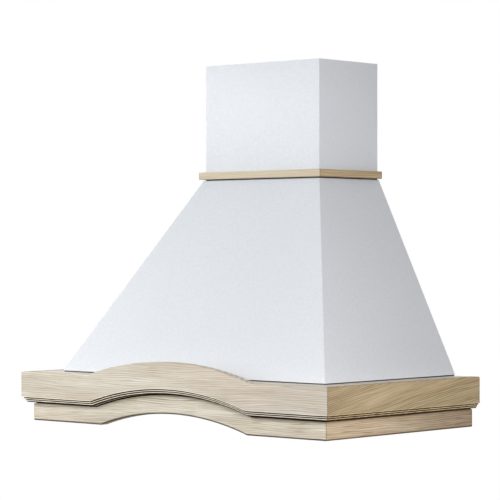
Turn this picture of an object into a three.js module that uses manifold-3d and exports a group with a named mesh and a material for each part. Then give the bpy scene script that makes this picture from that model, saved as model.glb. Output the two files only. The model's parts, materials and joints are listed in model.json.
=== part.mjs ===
// Wall-mounted chimney hood: sheet-metal canopy and chimney on a two-tier wooden cornice.
// Millimetres, +Z up. X runs along the wall, the wall is the plane y = 0 and the front faces -Y.
// Heights are measured from the cornice's lower edge; the origin is on the wall behind the hanger.

import * as THREE from 'three';
import { mergeVertices } from 'three/addons/utils/BufferGeometryUtils.js';
import Module from 'manifold-3d';

const wasm = await Module();
wasm.setup();

// ---------------------------------------------------------------- driving dimensions

const WIDTH = 900;
const DEPTH = 520;
const HANGER_HEIGHT = 300; // wall bracket's centre above the cornice's lower edge
const CLEARANCE = 0.3; // between pieces that rest against each other
const RUNNING_CLEARANCE = 0.2; // radial, between a pin and what turns on it
const WELD_DISTANCE = 1e-4;
const SIDES_SMALL = 12; // facets round a pin or a screw
const SIDES_MEDIUM = 24;
const SIDES_LARGE = 40;
const CURVE_STEPS = 8; // half the facets of an extruded curve

// Cornice
const RAIL_THICKNESS = 20;
const LOWER_REVEAL = 41.5; // height of the lower tier that shows under the upper one
const SHELF_HEIGHT = 110;
const SHELF_THICKNESS = 12;
const SHELF_BEARING = 26; // how far the shelf reaches in under the canopy
const ARCH_RADIUS = 705; // lower edge of the arch
const ARCH_RISE = 33.6;
const CREST_RISE = 36; // top edge of the arch, above the shelf
const ARCH_STEPS = 24;
const MOULDING_HEIGHT = 12.5;
const MOULDING_DEPTH = 9.5;
const REED_COUNT = 3;
const REED_BULGE = 1.3;
const REED_STEPS = 4;
const EDGE_RADIUS = 2.5;
const EDGE_STEPS = 3;
const CORNER_BLOCK_LEG = 56;

// Sheet metal
const SHEET = 1.5;
const FOLD = 18; // width of the folded-in edges
const WALL_GAP = 1.2; // rear folds stand this far off the wall
const GASKET_THICKNESS = 2;
const GASKET_WIDTH = 10;
const GASKET_INSET = 2;

// Canopy
const SIDE_REVEAL = 64; // shelf that shows beside the canopy's foot, rail included
const FRONT_REVEAL = 69;
const CANOPY_TOP_HEIGHT = 544;
const CANOPY_LIP = 3.5; // canopy's top edge outside the chimney

// Chimney and its ring
const CHIMNEY_WIDTH = 338;
const CHIMNEY_DEPTH = 208;
const CHIMNEY_TOP = 806;
const SLIDING_GAP = 0.8; // between cover and extension
const EXTENSION_DROP = 3; // how far its top lies below the cover's when pushed in
const VENT_COUNT = 5;
const VENT_LENGTH = 60;
const VENT_HEIGHT = 6;
const VENT_PITCH = 14;
const VENT_TOP_MARGIN = 30;
const RING_PROJECTION = 11;
const RING_HEIGHT = 15;
const RING_LIFT = 4; // shadow gap between canopy and ring
const CHIMNEY_BRACKET_HEIGHT = 20;
const CHIMNEY_BRACKET_DROP = 36; // its lower edge below the chimney's top
const CHIMNEY_BRACKET_GAP = 3.5; // to the extension's folds
const CHIMNEY_BRACKET_ARM = 24;

// Rear panel and wall bracket
const REAR_PANEL_SHEET = 1.2;
const REAR_PANEL_LIFT = 5; // its lower edge above the pan's
const BRACKET_WIDTH = 400;
const BRACKET_HEIGHT = 40;
const BRACKET_SHEET = 2;
const BRACKET_HOOK_GAP = 4.8; // between rear panel and the hook's upturned lip
const BRACKET_LIP = 12;
const BRACKET_SLOT_INSET = 50;
const BRACKET_SLOT_LENGTH = 16;
const BRACKET_SLOT_RADIUS = 3;
const HANGING_PLAY = 6; // slot height in the rear panel beyond the lip's

// Underside pan and what it carries
const PAN_HEIGHT = 45;
const PAN_SHEET = 1.2;
const PAN_FLANGE = 21;
const PAN_BLOCK_GAP = 0.5; // between the pan's flange and the corner blocks
const FRONT_STRIP = 96; // pan between the front flange and the filters
const REAR_STRIP = 52;
const MIDDLE_STRIP = 28;
const SIDE_STRIP = 24;
const LAMP_SIDE_MARGIN = 139.4; // from the pan's side to a lamp's middle
const FITTING_SETBACK = 47; // lamps and switches behind the pan's front edge
const SCREW_SETBACK = 17.5;
const SCREW_RADIUS = 2;
const SCREW_HEAD_RADIUS = 2 * SCREW_RADIUS;
const SCREW_HEAD_HEIGHT = 1.8;
const SCREW_HEAD_ROUNDING = 0.6; // share of the head's radius and height where its dome starts
const SCREW_LENGTH = 38;

// Filters
const FILTER_GAP = 1.5; // all round, in the pan's opening
const FILTER_THICKNESS = 9;
const FILTER_BORDER = 22;
const FILTER_LIP = 1.5;
const FILTER_GROOVE = 6;
const PLEAT_COUNT = 22;
const PLEAT_SHEET = 1;
const TAB_SPACING = 200;
const TAB_WIDTH = 30;
const TAB_REACH = 8;
const CATCH_THICKNESS = 3;
const CATCH_LENGTH = 14;
const CATCH_TRAVEL = 5;
const CATCH_GRIP_WIDTH = 24;
const CATCH_GRIP_DEPTH = 3;
const CATCH_GRIP_DROP = 7;
const CATCH_SHOULDER = 8; // slider beyond the grip at each end

// Lamps
const LAMP_RADIUS = 28;
const LAMP_FLANGE_WIDTH = 6;
const LAMP_FLANGE = 1.7;
const LAMP_WALL = 2;
const LAMP_DEPTH = 26;
const LENS_THICKNESS = 2.2;

// Switches
const SWITCH_HEIGHT = 17; // body above the pan's lower face
const SWITCH_END_MARGIN = 10.4;
const SWITCH_SIDE_MARGIN = 3.9;
const SWITCH_FLANGE = 1.5;
const SWITCH_FLANGE_MARGIN = 6;
const BUTTON_NAMES = [
  'button_light', 'button_stop', 'button_speed_1', 'button_speed_2', 'button_speed_3',
];
const BUTTON_PITCH = 27;
const BUTTON_WIDTH = 17.2;
const BUTTON_DEPTH = 11.2;
const BUTTON_PROUD = 2.2;
const BUTTON_SHOULDER = 1.7;

// Blower
const FAN_HEIGHT = 250; // impeller's axis
const FAN_RADIUS = 78;
const FAN_HALF_WIDTH = 52;
const FAN_BLADES = 20;
const FAN_BLADE_DEPTH = 14;
const FAN_BLADE_SHEET = 1.6;
const FAN_BLADE_SWEEP = 0.14; // radians that a blade leans forward at its tip
const FAN_RIM = 2.4;
const FAN_DISC = 3;
const HUB_RADIUS = 12;
const HUB_HALF_LENGTH = 10;
const SCROLL_TONGUE_GAP = 12; // between impeller and tongue
const SCROLL_GROWTH = 40; // the spiral's radius from tongue to outlet
const SCROLL_TONGUE_ANGLE = THREE.MathUtils.degToRad(65);
const SCROLL_STEPS = 36;
const SCROLL_SIDE_GAP = 8;
const SCROLL_WALL = 2.5;
const INLET_STEP = 8; // inlet's radius inside the impeller's
const OUTLET_RISE = 149.7; // outlet's top above the axis
const OUTLET_FLANGE = 9;
const SHAFT_RADIUS = 4;
const MOTOR_AIR_GAP = 18; // between motor and blades
const MOTOR_HUB_GAP = 4;
const MOTOR_BORE_DEPTH = 36;
const MOTOR_CHAMFER = 6;
const MOTOR_BOSS_HEIGHT = 3;
const MOTOR_BRACKET_SHEET = 2.5;
const MOTOR_BRACKET_HUB = 34;
const MOTOR_BRACKET_RIM = 8;
const MOTOR_BRACKET_ARMS = 3;
const MOTOR_BRACKET_ARM_ANGLE = THREE.MathUtils.degToRad(22);
const SUPPORT_SHEET = 1.5;
const SUPPORT_MARGIN = 11; // plate beyond the collar's flange
const SUPPORT_LEG = 50;

// Outlet collar and its flaps
const COLLAR_RADIUS = 75;
const COLLAR_WALL = 2;
const COLLAR_FLANGE = 9;
const COLLAR_MARGIN = 2; // collar above the open flaps' highest point
const PIN_HEAD = 1; // how far the flap pin stands out of the collar
const FLAP_AXIS_RISE = 14; // flap pin above the collar's foot
const FLAP_SHEET = 1.2;
const FLAP_LEDGE = 2.4;
const PIN_RADIUS = 1.5;
const KNUCKLE_WALL = 1.5;
const KNUCKLE_LENGTH = 12;
const KNUCKLE_GAP = 1;
const KNUCKLE_OFFSET = 30;
const FLAP_EDGE_GAP = 0.5; // between a flap and the other one's knuckles

// Electrics on the rear panel
const ELECTRICS_GAP = 18; // from the blower support
const BOX_WIDTH = 90;
const BOX_HEIGHT = 66;
const BOX_DEPTH = 42;
const BOX_WALL = 2;
const GLAND_BORE = 4.5;
const GLAND_WALL = 2.5;
const GLAND_STEP = 2;
const GLAND_THREAD_LENGTH = 6;
const GLAND_HEIGHT = 16;
const CAPACITOR_RADIUS = 16;
const CAPACITOR_HEIGHT = 62;

// ---------------------------------------------------------------- derived places

const SETBACK = RAIL_THICKNESS + CLEARANCE; // lower tier behind the upper one
const LOWER_WIDTH = WIDTH - 2 * SETBACK;
const LOWER_DEPTH = DEPTH - SETBACK;
const SHELF_WIDTH = Math.max(SIDE_REVEAL, FRONT_REVEAL) - SETBACK + SHELF_BEARING;
const SHELF_UNDERSIDE = SHELF_HEIGHT - SHELF_THICKNESS;
const LOWER_TOP = SHELF_UNDERSIDE - CLEARANCE;
const ARCH_CENTRE = ARCH_RISE - ARCH_RADIUS; // height of the common centre of all arched edges
const INNER_HALF_WIDTH = LOWER_WIDTH / 2 - RAIL_THICKNESS;
const INNER_FRONT = -(LOWER_DEPTH - RAIL_THICKNESS);

const CANOPY_FOOT = SHELF_HEIGHT + GASKET_THICKNESS;
const CANOPY_FOOT_WIDTH = WIDTH - 2 * SIDE_REVEAL;
const CANOPY_FOOT_DEPTH = DEPTH - FRONT_REVEAL;
const CANOPY_TOP_WIDTH = CHIMNEY_WIDTH + 2 * CANOPY_LIP;
const CANOPY_TOP_DEPTH = CHIMNEY_DEPTH + CANOPY_LIP;
const CHIMNEY_FOOT = CANOPY_TOP_HEIGHT + CLEARANCE;
const RING_FOOT = CANOPY_TOP_HEIGHT + RING_LIFT;
const EXTENSION_HALF_WIDTH = CHIMNEY_WIDTH / 2 - SHEET - SLIDING_GAP;
const EXTENSION_FRONT = -CHIMNEY_DEPTH + SHEET + SLIDING_GAP;
const EXTENSION_BACK = -WALL_GAP - SHEET - SLIDING_GAP;
const EXTENSION_TOP = CHIMNEY_TOP - EXTENSION_DROP;

const REAR_PANEL_BACK = WALL_GAP + SHEET + CLEARANCE; // its rear face's distance from the wall
const REAR_PANEL_FRONT = REAR_PANEL_BACK + REAR_PANEL_SHEET;
const REAR_PANEL_FOOT = PAN_HEIGHT + REAR_PANEL_LIFT;
const BEHIND_LIMIT = -(REAR_PANEL_FRONT + CLEARANCE); // rearmost y for what stands before the panel
const BRACKET_TOP = HANGER_HEIGHT + BRACKET_HEIGHT / 2;
const BRACKET_REACH = REAR_PANEL_FRONT + BRACKET_HOOK_GAP + BRACKET_SHEET;

const PAN_HALF_WIDTH = INNER_HALF_WIDTH - CLEARANCE;
const PAN_FRONT = INNER_FRONT + CLEARANCE;
const PAN_TOP = PAN_HEIGHT + PAN_SHEET;
const FITTING_Y = PAN_FRONT + FITTING_SETBACK;
const FITTING_TOP = PAN_HEIGHT - CLEARANCE; // highest point of flanges under the pan
const APERTURE_FRONT = PAN_FRONT + FRONT_STRIP;
const APERTURE_BACK = BEHIND_LIMIT - REAR_STRIP;
const APERTURE_INNER = MIDDLE_STRIP / 2;
const APERTURE_OUTER = PAN_HALF_WIDTH - SIDE_STRIP;
const SWITCH_TOP = PAN_HEIGHT + SWITCH_HEIGHT;
const BUTTON_ROW = (BUTTON_NAMES.length - 1) * BUTTON_PITCH + BUTTON_WIDTH;
const SWITCH_BODY_WIDTH = BUTTON_ROW + 2 * SWITCH_END_MARGIN;
const SWITCH_BODY_DEPTH = BUTTON_DEPTH + 2 * SWITCH_SIDE_MARGIN;

const COLLAR_Y = -CHIMNEY_DEPTH / 2;
const SCROLL_TONGUE_RADIUS = FAN_RADIUS + SCROLL_TONGUE_GAP;
const SCROLL_END_RADIUS = SCROLL_TONGUE_RADIUS + SCROLL_GROWTH;
const SCROLL_HALF_WIDTH = FAN_HALF_WIDTH + SCROLL_SIDE_GAP;
const INLET_RADIUS = FAN_RADIUS - INLET_STEP;
const BLADE_FOOT_RADIUS = FAN_RADIUS - FAN_BLADE_DEPTH;
const OUTLET_TOP = FAN_HEIGHT + OUTLET_RISE;
const OUTLET_INNER = SCROLL_TONGUE_RADIUS * Math.cos(SCROLL_TONGUE_ANGLE);
const FAN_Y = COLLAR_Y - (SCROLL_END_RADIUS + OUTLET_INNER) / 2;
const MOTOR_RADIUS = BLADE_FOOT_RADIUS - MOTOR_AIR_GAP;
const MOTOR_START = HUB_HALF_LENGTH + MOTOR_HUB_GAP;
const COLLAR_FLANGE_RADIUS = COLLAR_RADIUS + COLLAR_FLANGE;
const SUPPORT_TOP = OUTLET_TOP + CLEARANCE + SUPPORT_SHEET;
const SUPPORT_HALF_WIDTH = COLLAR_FLANGE_RADIUS + SUPPORT_MARGIN;
const SUPPORT_FRONT = COLLAR_Y - SUPPORT_HALF_WIDTH;
const COLLAR_FOOT = SUPPORT_TOP + CLEARANCE;
const COLLAR_BORE = COLLAR_RADIUS - COLLAR_WALL;
const FLAP_RADIUS = COLLAR_BORE - SLIDING_GAP;
const FLAP_AXIS_HEIGHT = COLLAR_FOOT + FLAP_AXIS_RISE;
const COLLAR_HEIGHT = FLAP_AXIS_RISE + FLAP_RADIUS + COLLAR_MARGIN;
const KNUCKLE_RADIUS = PIN_RADIUS + KNUCKLE_WALL;
const FLAP_EDGE = KNUCKLE_RADIUS + FLAP_EDGE_GAP; // flap's straight edge from the pin's axis

const ELECTRICS_FOOT = SUPPORT_TOP - SUPPORT_LEG;
const BOX_X = SUPPORT_HALF_WIDTH + ELECTRICS_GAP + BOX_WIDTH / 2;
const CAPACITOR_X = -(SUPPORT_HALF_WIDTH + ELECTRICS_GAP + CAPACITOR_RADIUS);
const GLAND_THREAD_RADIUS = GLAND_BORE + GLAND_WALL;
const GLAND_RADIUS = GLAND_THREAD_RADIUS + GLAND_STEP;

// ---------------------------------------------------------------- shape helpers

function box(x0, x1, y0, y1, z0, z1) {
  const geometry = new THREE.BoxGeometry(x1 - x0, y1 - y0, z1 - z0);
  return geometry.translate((x0 + x1) / 2, (y0 + y1) / 2, (z0 + z1) / 2);
}

function extrude(shape, depth, curveSegments = CURVE_STEPS) {
  return new THREE.ExtrudeGeometry(shape, { depth, bevelEnabled: false, curveSegments });
}

function shapeOf(pairs) {
  return new THREE.Shape(pairs.map(([x, y]) => new THREE.Vector2(x, y)));
}

// Extrudes an outline drawn in Y and Z along X, starting at x.
function extrudeAlongX(shape, x, length, curveSegments) {
  const axes = new THREE.Matrix4().makeBasis(
    new THREE.Vector3(0, 1, 0),
    new THREE.Vector3(0, 0, 1),
    new THREE.Vector3(1, 0, 0),
  );
  return extrude(shape, length, curveSegments).applyMatrix4(axes).translate(x, 0, 0);
}

// Extrudes an outline drawn in X and Z along Y, from the wall side (y) towards the front.
function extrudeForward(shape, y, length) {
  return extrude(shape, length).rotateX(Math.PI / 2).translate(0, y, 0);
}

// Turns a profile of [radius, height] pairs about the Z axis.
function turn(profile, segments) {
  const points = profile.map(([radius, height]) => new THREE.Vector2(radius, height));
  return new THREE.LatheGeometry(points, segments).rotateX(Math.PI / 2);
}

function rod(radius, length, segments = SIDES_SMALL) {
  return turn([[0, 0], [radius, 0], [radius, length], [0, length]], segments);
}

function rodAlongX(radius, x0, x1, y, z, segments = SIDES_SMALL) {
  return rod(radius, x1 - x0, segments).rotateY(Math.PI / 2).translate(x0, y, z);
}

// The geometry with shared corners merged and collapsed triangles taken out.
function welded(geometry) {
  const bare = geometry.clone();
  bare.deleteAttribute('normal');
  bare.deleteAttribute('uv');
  const merged = mergeVertices(bare, WELD_DISTANCE);
  const corners = Array.from(merged.index.array);
  const kept = [];
  for (let start = 0; start < corners.length; start += 3) {
    const face = corners.slice(start, start + 3);
    if (new Set(face).size === 3) kept.push(...face);
  }
  merged.setIndex(kept);
  return merged;
}

function solid(geometry) {
  const merged = welded(geometry);
  return new wasm.Manifold(new wasm.Mesh({
    numProp: 3,
    vertProperties: new Float32Array(merged.attributes.position.array),
    triVerts: new Uint32Array(merged.index.array),
  }));
}

function geometryOf(manifold) {
  const mesh = manifold.getMesh();
  const geometry = new THREE.BufferGeometry();
  geometry.setAttribute('position', new THREE.BufferAttribute(mesh.vertProperties, 3));
  geometry.setIndex(new THREE.BufferAttribute(mesh.triVerts, 1));
  return geometry;
}

function cut(base, ...tools) {
  return geometryOf(tools.reduce((rest, tool) => rest.subtract(solid(tool)), solid(base)));
}

function join(...pieces) {
  return geometryOf(pieces.map(solid).reduce((whole, piece) => whole.add(piece)));
}

// Joins rings of equally many points into a closed solid. The outline gives the rings' order,
// counter-clockwise when seen against the run.
function loft(rings, outline) {
  const count = outline.length;
  const index = [];
  for (let ring = 0; ring < rings.length - 1; ring += 1) {
    for (let point = 0; point < count; point += 1) {
      const here = ring * count + point;
      const beside = ring * count + ((point + 1) % count);
      index.push(here, beside, here + count, beside, beside + count, here + count);
    }
  }
  const last = (rings.length - 1) * count;
  for (const face of THREE.ShapeUtils.triangulateShape(outline, [])) {
    const leftTurn = THREE.ShapeUtils.area(face.map((corner) => outline[corner])) > 0;
    const [a, b, c] = leftTurn ? face : [face[0], face[2], face[1]];
    index.push(last + a, last + b, last + c, a, c, b);
  }
  const geometry = new THREE.BufferGeometry();
  geometry.setAttribute('position', new THREE.Float32BufferAttribute(rings.flat(2), 3));
  geometry.setIndex(index);
  return geometry;
}

// A frustum with vertical back at y = back, given its half widths and front faces.
function frustum(back, foot, top) {
  const ring = ({ half, front, z }) => [
    [-half, front, z], [half, front, z], [half, back, z], [-half, back, z],
  ];
  const outline = ring(foot).map(([x, y]) => new THREE.Vector2(x, y));
  return loft([ring(foot), ring(top)], outline);
}

// ---------------------------------------------------------------- the assembly

const FINISHES = {
  frontWood: { color: 0xd9c8a9, roughness: 0.7, metalness: 0 },
  sideWood: { color: 0xc4a980, roughness: 0.7, metalness: 0 },
  paintedSheet: { color: 0xe6eaf0, roughness: 0.55, metalness: 0 },
  galvanised: { color: 0xb4b8ba, roughness: 0.45, metalness: 0.8 },
  steel: { color: 0xc8cacc, roughness: 0.3, metalness: 0.9 },
  aluminium: { color: 0xc9ccd0, roughness: 0.4, metalness: 0.9 },
  whitePlastic: { color: 0xe8e8e4, roughness: 0.45, metalness: 0 },
  greyPlastic: { color: 0x8a8d90, roughness: 0.6, metalness: 0 },
  blackPlastic: { color: 0x222325, roughness: 0.6, metalness: 0 },
  foam: { color: 0x1c1c1e, roughness: 0.9, metalness: 0 },
  frostedGlass: { color: 0xf2f4f4, roughness: 0.35, metalness: 0 },
};

const hood = new THREE.Group();
hood.position.z = -HANGER_HEIGHT;

function add(name, geometry, finish) {
  const mesh = new THREE.Mesh(geometry, new THREE.MeshStandardMaterial(FINISHES[finish]));
  mesh.name = name;
  hood.add(mesh);
  return mesh;
}

// ---------------------------------------------------------------- cornice

// Height of an edge that runs level at `level` and rises over the arch by `rise` at its middle.
function archedEdge(level, rise, x) {
  const radius = level + rise - ARCH_CENTRE;
  const overX = Math.min(Math.abs(x), radius);
  return Math.max(level, ARCH_CENTRE + Math.sqrt(radius * radius - overX * overX));
}

function archHalfSpan(level, rise) {
  const radius = level + rise - ARCH_CENTRE;
  return Math.sqrt(radius * radius - (level - ARCH_CENTRE) ** 2);
}

// Points of an arc in the plane of depth and height.
function arcPoints(depth, height, radius, startAngle, endAngle, steps) {
  return Array.from({ length: steps + 1 }, (_, step) => {
    const angle = startAngle + ((endAngle - startAngle) * step) / steps;
    return [depth + radius * Math.cos(angle), height + radius * Math.sin(angle)];
  });
}

// Points along the reeds, from the moulding's top on the face down to its foot.
function reedPoints(foot) {
  const stepDepth = MOULDING_DEPTH / REED_COUNT;
  const stepHeight = MOULDING_HEIGHT / REED_COUNT;
  const chord = Math.hypot(stepDepth, stepHeight);
  const points = [];
  for (let reed = 0; reed < REED_COUNT; reed += 1) {
    for (let step = 0; step < REED_STEPS; step += 1) {
      const along = reed + step / REED_STEPS;
      const bulge = REED_BULGE * Math.sin((Math.PI * step) / REED_STEPS);
      points.push([
        along * stepDepth - (bulge * stepHeight) / chord,
        foot + MOULDING_HEIGHT - along * stepHeight - (bulge * stepDepth) / chord,
      ]);
    }
  }
  points.push([MOULDING_DEPTH, foot]);
  return points;
}

// Cross-section of an upper rail as [depth from the face, height].
function upperProfile(foot, top) {
  return [
    [RAIL_THICKNESS, foot],
    [RAIL_THICKNESS, top],
    ...arcPoints(EDGE_RADIUS, top - EDGE_RADIUS, EDGE_RADIUS, Math.PI / 2, Math.PI, EDGE_STEPS),
    ...reedPoints(foot),
  ];
}

// Cross-section of a lower rail as [depth from the face, height].
function lowerProfile(foot, top) {
  return [
    [RAIL_THICKNESS, foot],
    [RAIL_THICKNESS, top],
    [0, top],
    ...arcPoints(EDGE_RADIUS, foot + EDGE_RADIUS, EDGE_RADIUS, Math.PI, 1.5 * Math.PI, EDGE_STEPS),
  ];
}

// A rail that runs along X from 0 to length, face at y = 0. A mitred end slopes with depth.
function rail(length, stations, profileAt, mitreStart, mitreEnd) {
  const mitreGap = CLEARANCE / Math.SQRT2;
  const rings = stations.map((x) => profileAt(x).map(([depth, height]) => {
    if (x === 0 && mitreStart) return [depth + mitreGap, depth, height];
    if (x === length && mitreEnd) return [length - depth - mitreGap, depth, height];
    return [x, depth, height];
  }));
  const outline = profileAt(0).map(([depth, height]) => new THREE.Vector2(depth, height));
  return loft(rings, outline);
}

function archStations(length, halfSpans) {
  const inner = Math.min(...halfSpans);
  const offsets = halfSpans.filter((span) => span > inner).flatMap((span) => [-span, span]);
  for (let step = 0; step <= ARCH_STEPS; step += 1) {
    offsets.push(inner * ((2 * step) / ARCH_STEPS - 1));
  }
  offsets.sort((a, b) => a - b);
  return [0, ...offsets.map((offset) => length / 2 + offset), length];
}

// Places a rail: the front one as it is, the side ones turned to face left or right.
function placeRail(mesh, side, halfWidth, depth) {
  if (side === 'front') mesh.position.set(-halfWidth, -depth, 0);
  if (side === 'left') mesh.position.set(-halfWidth, 0, 0);
  if (side === 'right') mesh.position.set(halfWidth, -depth, 0);
  if (side === 'left') mesh.rotation.z = -Math.PI / 2;
  if (side === 'right') mesh.rotation.z = Math.PI / 2;
}

// The left rail runs from the wall to the front corner, the right one from the corner to the wall.
const MITRES = {
  front: [true, true],
  left: [false, true],
  right: [true, false],
};

function addTier(prefix, width, depth, frontStations, frontProfile, sideProfile) {
  for (const [side, [mitreStart, mitreEnd]] of Object.entries(MITRES)) {
    const isFront = side === 'front';
    const length = isFront ? width : depth;
    const stations = isFront ? frontStations : [0, length];
    const profileAt = isFront ? frontProfile : () => sideProfile;
    const geometry = rail(length, stations, profileAt, mitreStart, mitreEnd);
    const mesh = add(`${prefix}_${side}`, geometry, isFront ? 'frontWood' : 'sideWood');
    placeRail(mesh, side, width / 2, depth);
  }
}

function addCornice() {
  const crest = (x) => archedEdge(SHELF_HEIGHT, CREST_RISE, x - WIDTH / 2);
  const upperFoot = (x) => archedEdge(LOWER_REVEAL, ARCH_RISE, x - WIDTH / 2);
  const lowerFoot = (x) => archedEdge(0, ARCH_RISE, x - LOWER_WIDTH / 2);
  addTier(
    'upper_rail',
    WIDTH,
    DEPTH,
    archStations(WIDTH, [archHalfSpan(LOWER_REVEAL, ARCH_RISE), archHalfSpan(SHELF_HEIGHT, CREST_RISE)]),
    (x) => upperProfile(upperFoot(x), crest(x)),
    upperProfile(LOWER_REVEAL, SHELF_HEIGHT),
  );
  addTier(
    'lower_rail',
    LOWER_WIDTH,
    LOWER_DEPTH,
    archStations(LOWER_WIDTH, [archHalfSpan(0, ARCH_RISE)]),
    (x) => lowerProfile(lowerFoot(x), LOWER_TOP),
    lowerProfile(0, LOWER_TOP),
  );
}

function addShelf() {
  const profile = [
    [SHELF_WIDTH, SHELF_UNDERSIDE],
    [SHELF_WIDTH, SHELF_HEIGHT],
    [0, SHELF_HEIGHT],
    [0, SHELF_UNDERSIDE],
  ];
  const rearGap = -BEHIND_LIMIT;
  for (const [side, [mitreStart, mitreEnd]] of Object.entries(MITRES)) {
    const isFront = side === 'front';
    const length = isFront ? LOWER_WIDTH : LOWER_DEPTH;
    const full = rail(length, [0, length], () => profile, mitreStart, mitreEnd);
    const wallEnd = side === 'left' ? [-1, rearGap] : [length - rearGap, length + 1];
    const trim = box(wallEnd[0], wallEnd[1], -1, SHELF_WIDTH + 1, 0, SHELF_HEIGHT + 1);
    const mesh = add(`shelf_${side}`, isFront ? full : cut(full, trim), 'sideWood');
    placeRail(mesh, side, LOWER_WIDTH / 2, LOWER_DEPTH);
  }
}

function addCornerBlocks() {
  const foot = PAN_HEIGHT + PAN_FLANGE + PAN_BLOCK_GAP;
  const height = LOWER_TOP - foot;
  const corners = [
    ['front_left', -1, INNER_FRONT, 1],
    ['front_right', 1, INNER_FRONT, 1],
    ['rear_left', -1, BEHIND_LIMIT, -1],
    ['rear_right', 1, BEHIND_LIMIT, -1],
  ];
  for (const [corner, side, y, inward] of corners) {
    const cornerX = side * (INNER_HALF_WIDTH - CLEARANCE);
    const cornerY = y + inward * CLEARANCE;
    const triangle = shapeOf([
      [cornerX, cornerY],
      [cornerX - side * CORNER_BLOCK_LEG, cornerY],
      [cornerX, cornerY + inward * CORNER_BLOCK_LEG],
    ]);
    const block = extrude(triangle, height).translate(0, 0, foot);
    const [screwX, screwY] = panScrewPlace(side, inward);
    const hole = rod(SCREW_RADIUS + CLEARANCE, SCREW_LENGTH + 1)
      .translate(screwX, screwY, PAN_TOP + CLEARANCE);
    add(`corner_block_${corner}`, cut(block, hole), 'sideWood');

    const screw = turn([
      [0, 0],
      [SCREW_HEAD_RADIUS * SCREW_HEAD_ROUNDING, 0],
      [SCREW_HEAD_RADIUS, SCREW_HEAD_HEIGHT * SCREW_HEAD_ROUNDING],
      [SCREW_HEAD_RADIUS, SCREW_HEAD_HEIGHT],
      [SCREW_RADIUS, SCREW_HEAD_HEIGHT],
      [SCREW_RADIUS, SCREW_LENGTH],
      [0, SCREW_LENGTH + SCREW_RADIUS],
    ], SIDES_SMALL).translate(screwX, screwY, FITTING_TOP - SCREW_HEAD_HEIGHT);
    add(`pan_screw_${corner}`, screw, 'steel');
  }
}

function panScrewPlace(side, inward) {
  const edge = inward > 0 ? PAN_FRONT : BEHIND_LIMIT;
  return [side * (PAN_HALF_WIDTH - SCREW_SETBACK), edge + inward * SCREW_SETBACK];
}

// ---------------------------------------------------------------- canopy and chimney

// Half width and front of the canopy at a height, shrunk by an inset.
function canopyAt(z, inset) {
  const share = (z - CANOPY_FOOT) / (CANOPY_TOP_HEIGHT - CANOPY_FOOT);
  const width = THREE.MathUtils.lerp(CANOPY_FOOT_WIDTH, CANOPY_TOP_WIDTH, share);
  const depth = THREE.MathUtils.lerp(CANOPY_FOOT_DEPTH, CANOPY_TOP_DEPTH, share);
  return { half: width / 2 - inset, front: inset - depth, z };
}

// Outline in X and Z of the opening behind the canopy, a given distance inside its skin.
function canopyBackOutline(inset, foot, top) {
  const low = canopyAt(foot, inset);
  const high = canopyAt(top, inset);
  return [[-low.half, foot], [low.half, foot], [high.half, top], [-high.half, top]];
}

// Horizontal thickness of the leaning walls, whose sheet is thinner square to the slope.
function leaningWall() {
  const lean = (CANOPY_FOOT_WIDTH - CANOPY_TOP_WIDTH) / 2 / (CANOPY_TOP_HEIGHT - CANOPY_FOOT);
  return SHEET * Math.hypot(1, lean);
}

function addCanopy() {
  const wall = leaningWall();
  const backOutside = -WALL_GAP;
  const shell = frustum(backOutside, canopyAt(CANOPY_FOOT, 0), canopyAt(CANOPY_TOP_HEIGHT, 0));
  const hollow = frustum(
    backOutside - SHEET,
    canopyAt(CANOPY_FOOT + SHEET, wall),
    canopyAt(CANOPY_TOP_HEIGHT - SHEET, wall),
  );
  const foot = canopyAt(CANOPY_FOOT, FOLD);
  const mouth = box(
    -foot.half, foot.half, foot.front, backOutside + 1, CANOPY_FOOT - 1, CANOPY_FOOT + SHEET + 1,
  );
  const flue = box(
    -CHIMNEY_WIDTH / 2 + FOLD,
    CHIMNEY_WIDTH / 2 - FOLD,
    -CHIMNEY_DEPTH + FOLD,
    backOutside - FOLD,
    CANOPY_TOP_HEIGHT - SHEET - 1,
    CANOPY_TOP_HEIGHT + 1,
  );
  const back = extrudeForward(
    shapeOf(canopyBackOutline(FOLD, CANOPY_FOOT + SHEET, CANOPY_TOP_HEIGHT - FOLD)),
    backOutside + 1,
    SHEET + 2,
  );
  const panelRoom = extrudeForward(
    shapeOf(rearPanelOutline(-CLEARANCE)),
    -REAR_PANEL_BACK + CLEARANCE,
    REAR_PANEL_SHEET + 2 * CLEARANCE,
  );
  add('canopy_shell', cut(shell, hollow, mouth, flue, back, panelRoom), 'paintedSheet');

  const outer = canopyAt(CANOPY_FOOT, GASKET_INSET);
  const inner = canopyAt(CANOPY_FOOT, GASKET_INSET + GASKET_WIDTH);
  const bottom = SHELF_HEIGHT + CLEARANCE / 2;
  const top = CANOPY_FOOT - CLEARANCE / 2;
  const strip = cut(
    box(-outer.half, outer.half, outer.front, BEHIND_LIMIT, bottom, top),
    box(-inner.half, inner.half, inner.front, BEHIND_LIMIT + 1, bottom - 1, top + 1),
  );
  add('canopy_gasket', strip, 'foam');
}

// U-shaped folded sheet, open at the back but for its folds, standing from foot to top.
function foldedChannel(halfWidth, front, back, foot, top) {
  return cut(
    box(-halfWidth, halfWidth, front, back, foot, top),
    box(-halfWidth + SHEET, halfWidth - SHEET, front + SHEET, back - SHEET, foot - 1, top + 1),
    box(-halfWidth + FOLD, halfWidth - FOLD, back - SHEET - 1, back + 1, foot - 1, top + 1),
  );
}

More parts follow.
